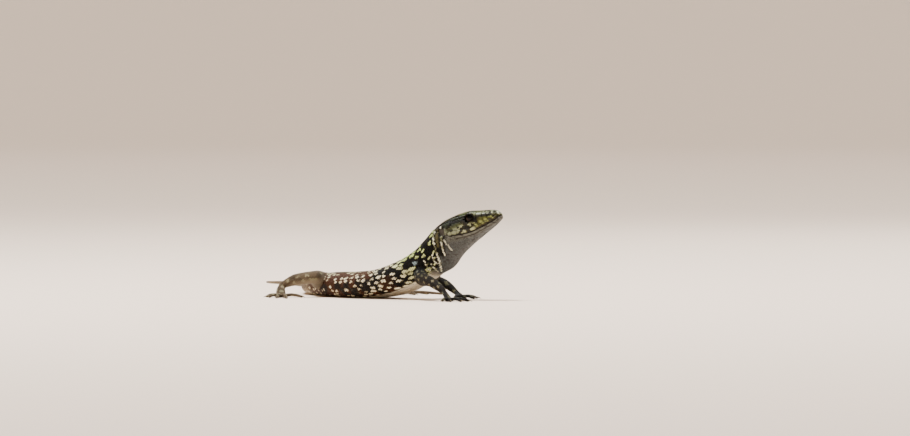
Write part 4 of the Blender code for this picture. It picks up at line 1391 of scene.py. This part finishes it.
def cover_digit(coat, name, tube, band):
    """Rings of scutes down one finger or toe."""
    rows = [columns(t, turns_of(SCUTES_ROUND, 0.5 * (number % 2)) - math.pi)
            for number, t in enumerate(np.arange(0.15, tube.length, SCUTE_PITCH))]
    t, turn = np.concatenate(rows).T
    roots = tube.surface(t, turn, -DIGIT_INSET)
    up = unit(roots - tube.surface(t, turn, -DIGIT_INSET - 0.1) + (0, 0, 1e-6))
    sizes = columns(SCUTE_SIZE[0], tube.girth(t) / SCUTES_ROUND, SCUTE_SIZE[1])
    stand_on_tube(coat, SCUTE, name, tube, band, t, turn, roots, up, sizes)


def build_claws():
    """Hooked horn at the end of every finger and toe."""
    shell = Shell()
    share = np.linspace(0, 1, 9)
    radius = CLAW_RADIUS * (1 - CLAW_TAPER * share**1.3)
    for _, kind, tube in TUBES:
        if kind == "digit":
            reach = (CLAW_LENGTH + CLAW_LAP) * share - CLAW_LAP
            centres = tube.centres[-1] + tube.ways[-1] * reach[:, None]
            centres[:, 2] = blend(*CLAW_HEIGHTS, share**1.6) + CLAW_ARCH * np.sin(math.pi * share)
            claw = Tube(centres, np.gradient(centres, axis=0), radius * CLAW_OVAL, radius)
            shell.add(*loft(claw.closed_rings(*CLAW_RINGS, 0.0)))
    return shell.arrays()


EYE_SEGMENTS, EYE_RINGS = 48, 32
PUPIL_RISE, PUPIL_REACH = 0.05, 0.6  # the bulge over the pupil, and its reach as a share of the radius
GAZE = (0.96, 0.22, 0.12)  # shares of the way outwards, forwards and upwards
DRUM_SIDES, DRUM_TALL = 24, 1.3
# The drum from behind to its middle: radius, and depth inside the head's widest place.
DRUM_RINGS = ((0.72, 0.95), (0.72, 0.78), (0.66, 0.72), (0.4, 0.8), (0.15, 0.85))


def build_eye(side, name, finish):
    """An eyeball whose own axis looks outwards, with a low bulge over the pupil."""
    made = bmesh.new()
    bmesh.ops.create_uvsphere(made, u_segments=EYE_SEGMENTS, v_segments=EYE_RINGS, radius=EYE_RADIUS * MM)
    for vertex in made.verts:
        if vertex.co.z > 0:
            reach = math.hypot(vertex.co.x, vertex.co.y) / (EYE_RADIUS * MM)
            vertex.co.z += PUPIL_RISE * MM * float(fade(PUPIL_REACH, 0.0, reach))
    mesh = bpy.data.meshes.new("eye_" + name)
    made.to_mesh(mesh)
    made.free()
    mesh.shade_smooth()
    mesh.materials.append(finish)
    eye = link("eyeball_" + name, mesh)
    eye.location = Vector(SPINE.in_head(EYE_BACK, side * EYE_OUT, EYE_UP)) * MM
    gaze = SPINE.left[0] * side * GAZE[0] + SPINE.forward[0] * GAZE[1] + SPINE.up[0] * GAZE[2]
    eye.rotation_euler = Vector(gaze).to_track_quat("Z", "Y").to_euler()
    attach(eye, "root")
    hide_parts("eye_" + name)


def build_eardrum(side, name, finish):
    """The drum: a thin dished disc at the bottom of the ear's opening."""
    turns = turns_of(DRUM_SIDES)
    surface = float(HALF_WIDTH(EAR_BACK))
    rings = [SPINE.in_head(EAR_BACK + radius * np.cos(turns), side * (surface - depth),
                           EAR_UP + DRUM_TALL * radius * np.sin(turns))
             for radius, depth in DRUM_RINGS]
    drum = store("drum_" + name, loft(rings), finish, "eardrum")
    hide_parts("eardrum_" + name)


# --- the whole animal ---
HEAD_SPAN = (-1.0, HEAD_END + 2)
TAIL_WHORLS = np.concatenate([np.arange(VENT, 110, 1.3), np.arange(110.2, 160, 1.25),
                              np.arange(160.2, 194, 1.15)])
# Rows of scales on the lids: share from the rim to the outer edge, and count.
LID_ROWS = [(0.06, 44), (0.24, 38), (0.44, 36), (0.64, 36), (0.84, 36), (1.0, 38)]
LID_STEPS = (0.05, 0.03)  # round the lid and across it, to find a scale's own directions
LID_GRANULE = (0.2, 0.07)  # width and rise
EYE_BULGE, EYE_BARE = 1.3, 1.3  # a ball this far outside the eye's middle, where no granules stand
PLATE_CLEAR = 0.2


def flank_edge(s):
    """Distance round from the back to the edge of the belly's plates."""
    return SPINE.half_girth(s) - belly_half(s) * fade(BELLY_START - 1, BELLY_START + 0.5, s)


# Body scales: piece, first and last station, row pitch, edge, scale width, rise, looseness and finish.
BODY_PIECES = [
    ("head_granules", 1.0, HEAD_END, 0.36, SPINE.half_girth, lambda s: 0.38, 0.13, 0.5, "olive"),
    ("neck_scales", HEAD_END, BELLY_START, 0.38, SPINE.half_girth, lambda s: 0.42, 0.16, 0.2, "spotted"),
]
TRUNK_ENDS = ((BELLY_START, 39.0), (39.0, 54.0), (54.0, VENT))
BODY_PIECES += [
    (f"trunk_scales_{number}", *ends, 0.40, flank_edge, lambda s: flank_edge(s) / 30, 0.17, 0.2, "spotted")
    for number, ends in enumerate(TRUNK_ENDS, 1)
]
SLOTS = {"olive": "scales_olive", "spotted": "scales_spotted", "grey": "throat_grey", "brown": "limb_brown"}


def build_plates(ground, finishes):
    """The pieces of plates, and the points all over them."""
    head, jaw, belly = Plates(HEAD_SPAN), Plates(HEAD_SPAN), Plates((BELLY_START - 1, VENT + 2))
    top_plates(head)
    for side in SIDES:
        side_plates(head, side)
    snout_plates(head, jaw)
    nostrils(head, ground)
    for side in SIDES:
        jaw_plates(jaw, side)
    belly_plates(belly)
    for name, plates, paints in (("head", head, "olive"), ("jaw", jaw, "grey"), ("belly", belly, "grey")):
        plates.coat.finish(name + "_plates", finishes[paints], SLOTS[paints])
    return head.cover + jaw.cover, belly.cover


def build_body_scales(ground, finishes, plated):
    """The granules from snout to vent, which keep off plates, eyes and ears; gives their places."""
    eyes = [SPINE.in_head(EYE_BACK, side * (EYE_OUT + EYE_BULGE), EYE_UP) for side in SIDES]

    def off_plates(roots, arc):
        keep = clear_of(plated, roots, PLATE_CLEAR)
        for eye in eyes:
            keep &= np.linalg.norm(roots - eye, axis=1) > EYE_BARE
        return keep & ~((ear_distance(roots, *EAR_BARE) < 1) & (np.abs(arc) < EAR_ARC))

    places = []
    for name, start, end, pitch, edge, width, rise, loose, paints in BODY_PIECES:
        grid = scale_grid(start, end, pitch, lambda s: -edge(s), edge, width, loose)
        coat = Coat()
        cover_body(coat, ground, grid, pitch * 1.25, rise, (start - 1, end + 1), off_plates)
        coat.finish(name, finishes[paints], SLOTS[paints])
        places.append(SPINE.surface(grid[:, 0], SPINE.angle(grid[:, 0], grid[:, 1]), -COAT))
    return places


def tail_scale_width(s):
    return 0.36 + 0.09 * HALF_WIDTH(s)


def build_tail_scales(finish):
    half = SPINE.half_girth
    for number, (start, end) in enumerate(((VENT, 100.0), (100.0, TAIL_TIP)), 1):
        coat = Coat()
        for count, s in enumerate(TAIL_WHORLS[(TAIL_WHORLS >= start) & (TAIL_WHORLS < end)]):
            whorl = scale_grid(s, s + 0.5, 1.0, lambda x: -half(x), half, tail_scale_width)
            whorl[:, 1] += 0.5 * (count % 2) * whorl[:, 2]
            whorl[:, 1] -= np.where(whorl[:, 1] > half(s), 2 * half(s), 0)
            cover_tail(coat, s, whorl, (start - 1, end + 1))
        coat.finish(f"tail_scales_{number}", finish, "limb_brown")


def build_limb_scales(ground, body, finish):
    for name, (length, palm, *fingers) in FORMS.items():
        coat = Coat()
        cover_tube(coat, ground, body, name, "length", length, LENGTH_BAND)
        coat.finish(name + "_scales", finish, "limb_brown")
        coat = Coat()
        cover_tube(coat, ground, body, name, "palm", palm, PALM_BAND)
        for tube, band in zip(fingers, DIGIT_BANDS):
            cover_digit(coat, name, tube, band)
        coat.finish(name + "_digit_scales", finish, "limb_brown")


def build_lid_scales(finish):
    """Small granules in rows round the lids, with painted shade towards the eye."""
    coat = Coat()
    turn_step, share_step = LID_STEPS
    for side in SIDES:
        for share, count in LID_ROWS:
            turns = turns_of(count, 0.5 * (round(share * 5) % 2))
            roots = lid_place(side, turns, share)
            ahead = lid_place(side, turns + turn_step, share) - lid_place(side, turns - turn_step, share)
            outer = lid_place(side, turns, share + share_step)
            across = outer - lid_place(side, turns, max(share - share_step, 0.0))
            spacing = np.linalg.norm(ahead, axis=1) / (2 * turn_step) * (2 * math.pi / count)
            s, _, up = SPINE.to_head(roots)
            angle = angle_from_height(s, up, side)
            # painted shade on the lids, darkest next to the eye
            tints = mix(body_colour(s, angle), EYE_SHADE, fade(1.1, 0.5, share) * 0.9)
            coat.add_scales(GRANULE, roots, unit(ahead), unit(np.cross(ahead, across) * side),
                            columns(spacing * 1.02, *LID_GRANULE), tints,
                            unwrap(s, SPINE.arc(s, angle), *HEAD_SPAN))
    coat.finish("lid_scales", finish, "scales_olive")


def build_animal():
    arrays, ground = build_skin()
    # the skin shows only in the gaps between scales, and its markings are halved there as painted shade
    skin = store("skin", arrays, scale_finish("skin", 0.6, 0.0, 0.5), "scales_spotted",
                 skin_colours(arrays[0]) * 0.5)
    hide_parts(*FLESH, *(f"{name}_{part}" for name, limb in LIMBS.items() for part in limb[-1]))
    finishes = {
        "olive": scale_finish("olive_scales", 0.38, 0.6, 0.35, gloss=0.2),
        "spotted": scale_finish("spotted_scales", 0.42, 0.65, 0.3),
        "grey": scale_finish("grey_scales", 0.5, 0.35, 0.3),
        "brown": scale_finish("brown_scales", 0.5, 0.5, 0.35),
    }
    head, belly = build_plates(ground, finishes)
    places = build_body_scales(ground, finishes, tree_of(np.concatenate(head + belly)))
    build_tail_scales(finishes["brown"])
    build_limb_scales(ground, tree_of(np.concatenate(places + belly)), finishes["brown"])
    build_lid_scales(finishes["olive"])
    wet, drum = eye_finish(), plain_finish("drum", paint(34, 29, 22), 0.35)
    for side, name in zip(SIDES, ("left", "right")):
        build_eye(side, name, wet)
        build_eardrum(side, name, drum)
    store("claws", build_claws(), plain_finish("horn", paint(88, 72, 50), 0.35), "limb_brown")


# --- the studio ---
FLOOR_SIDES = 96
FLOOR_FLAT, WALL_BEND, WALL_TOP = (0.3, 1.0, 2.5, 4.5), 2.5, 5.0  # metres
# Lamps: name, place and size in metres, power in watts.
LAMPS = (("key", (-0.1, -0.2, 0.9), 0.16, 17.0), ("painted_shade", (-0.3, 0.75, 0.6), 0.4, 4.0),
         ("ceiling", (0.0, 0.0, 6.0), 8.0, 700.0))
VIEW_AZIMUTH, VIEW_ELEVATION, VIEW_DISTANCE = math.radians(50), math.radians(1), 2.0
VIEW_CENTRE = (20.97, 20.0)  # to the right and up from the row's origin, in the view
SENSOR, VIEW_WIDTH = 36.0, 0.2275


def build_stage():
    """A round pale floor that curves up into a wall far from the animal, soft lamps and dim daylight."""
    bend = np.radians(np.arange(0, 91, 5))[1:]
    wall = FLOOR_FLAT[-1] + WALL_BEND
    radii = [*FLOOR_FLAT, *(wall - WALL_BEND * (1 - np.sin(bend))), wall]
    heights = [*np.zeros(len(FLOOR_FLAT)), *(WALL_BEND * (1 - np.cos(bend))), WALL_TOP]
    turns = turns_of(FLOOR_SIDES)
    rings = [columns(r * np.cos(turns), r * np.sin(turns), z) for r, z in zip(radii, heights)]
    points = np.concatenate([*rings, [[0.0, 0.0, 0.0]]])
    middle = fan(0, FLOOR_SIDES, len(points) - 1)[:, [1, 0, 2]]
    floor = link("floor", mesh_from("floor", points, ring_quads(len(rings), FLOOR_SIDES), middle))
    floor.data.materials.append(plain_finish("floor_paint", paint(230, 211, 192), 0.9))
    world = bpy.data.worlds.new("studio")
    world.use_nodes = True
    background = world.node_tree.nodes["Background"]
    background.inputs["Color"].default_value = (0.96, 0.98, 1.0, 1.0)
    background.inputs["Strength"].default_value = 0.2
    bpy.context.scene.world = world
    for name, place, size, power in LAMPS:
        lamp = bpy.data.lights.new(name, "AREA")
        lamp.size, lamp.energy = size, power
        made = link(name, lamp)
        made.location = place
        made.rotation_euler = (Vector((0, 0, 0.01)) - Vector(place)).to_track_quat("-Z", "Y").to_euler()


def build_camera():
    right = Vector((math.cos(VIEW_AZIMUTH), math.sin(VIEW_AZIMUTH), 0))
    level = Vector((-math.sin(VIEW_AZIMUTH), math.cos(VIEW_AZIMUTH), 0))
    ahead = level * math.cos(VIEW_ELEVATION) - Vector((0, 0, math.sin(VIEW_ELEVATION)))
    target = (right * VIEW_CENTRE[0] + right.cross(ahead) * VIEW_CENTRE[1]) * MM
    data = bpy.data.cameras.new("camera")
    data.sensor_width = SENSOR
    data.lens = SENSOR * VIEW_DISTANCE / VIEW_WIDTH
    data.clip_end = 20.0
    camera = link("camera", data)
    camera.location = target - ahead * VIEW_DISTANCE
    camera.rotation_euler = ahead.to_track_quat("-Z", "Y").to_euler()
    bpy.context.scene.camera = camera


build_animal()
build_stage()
build_camera()
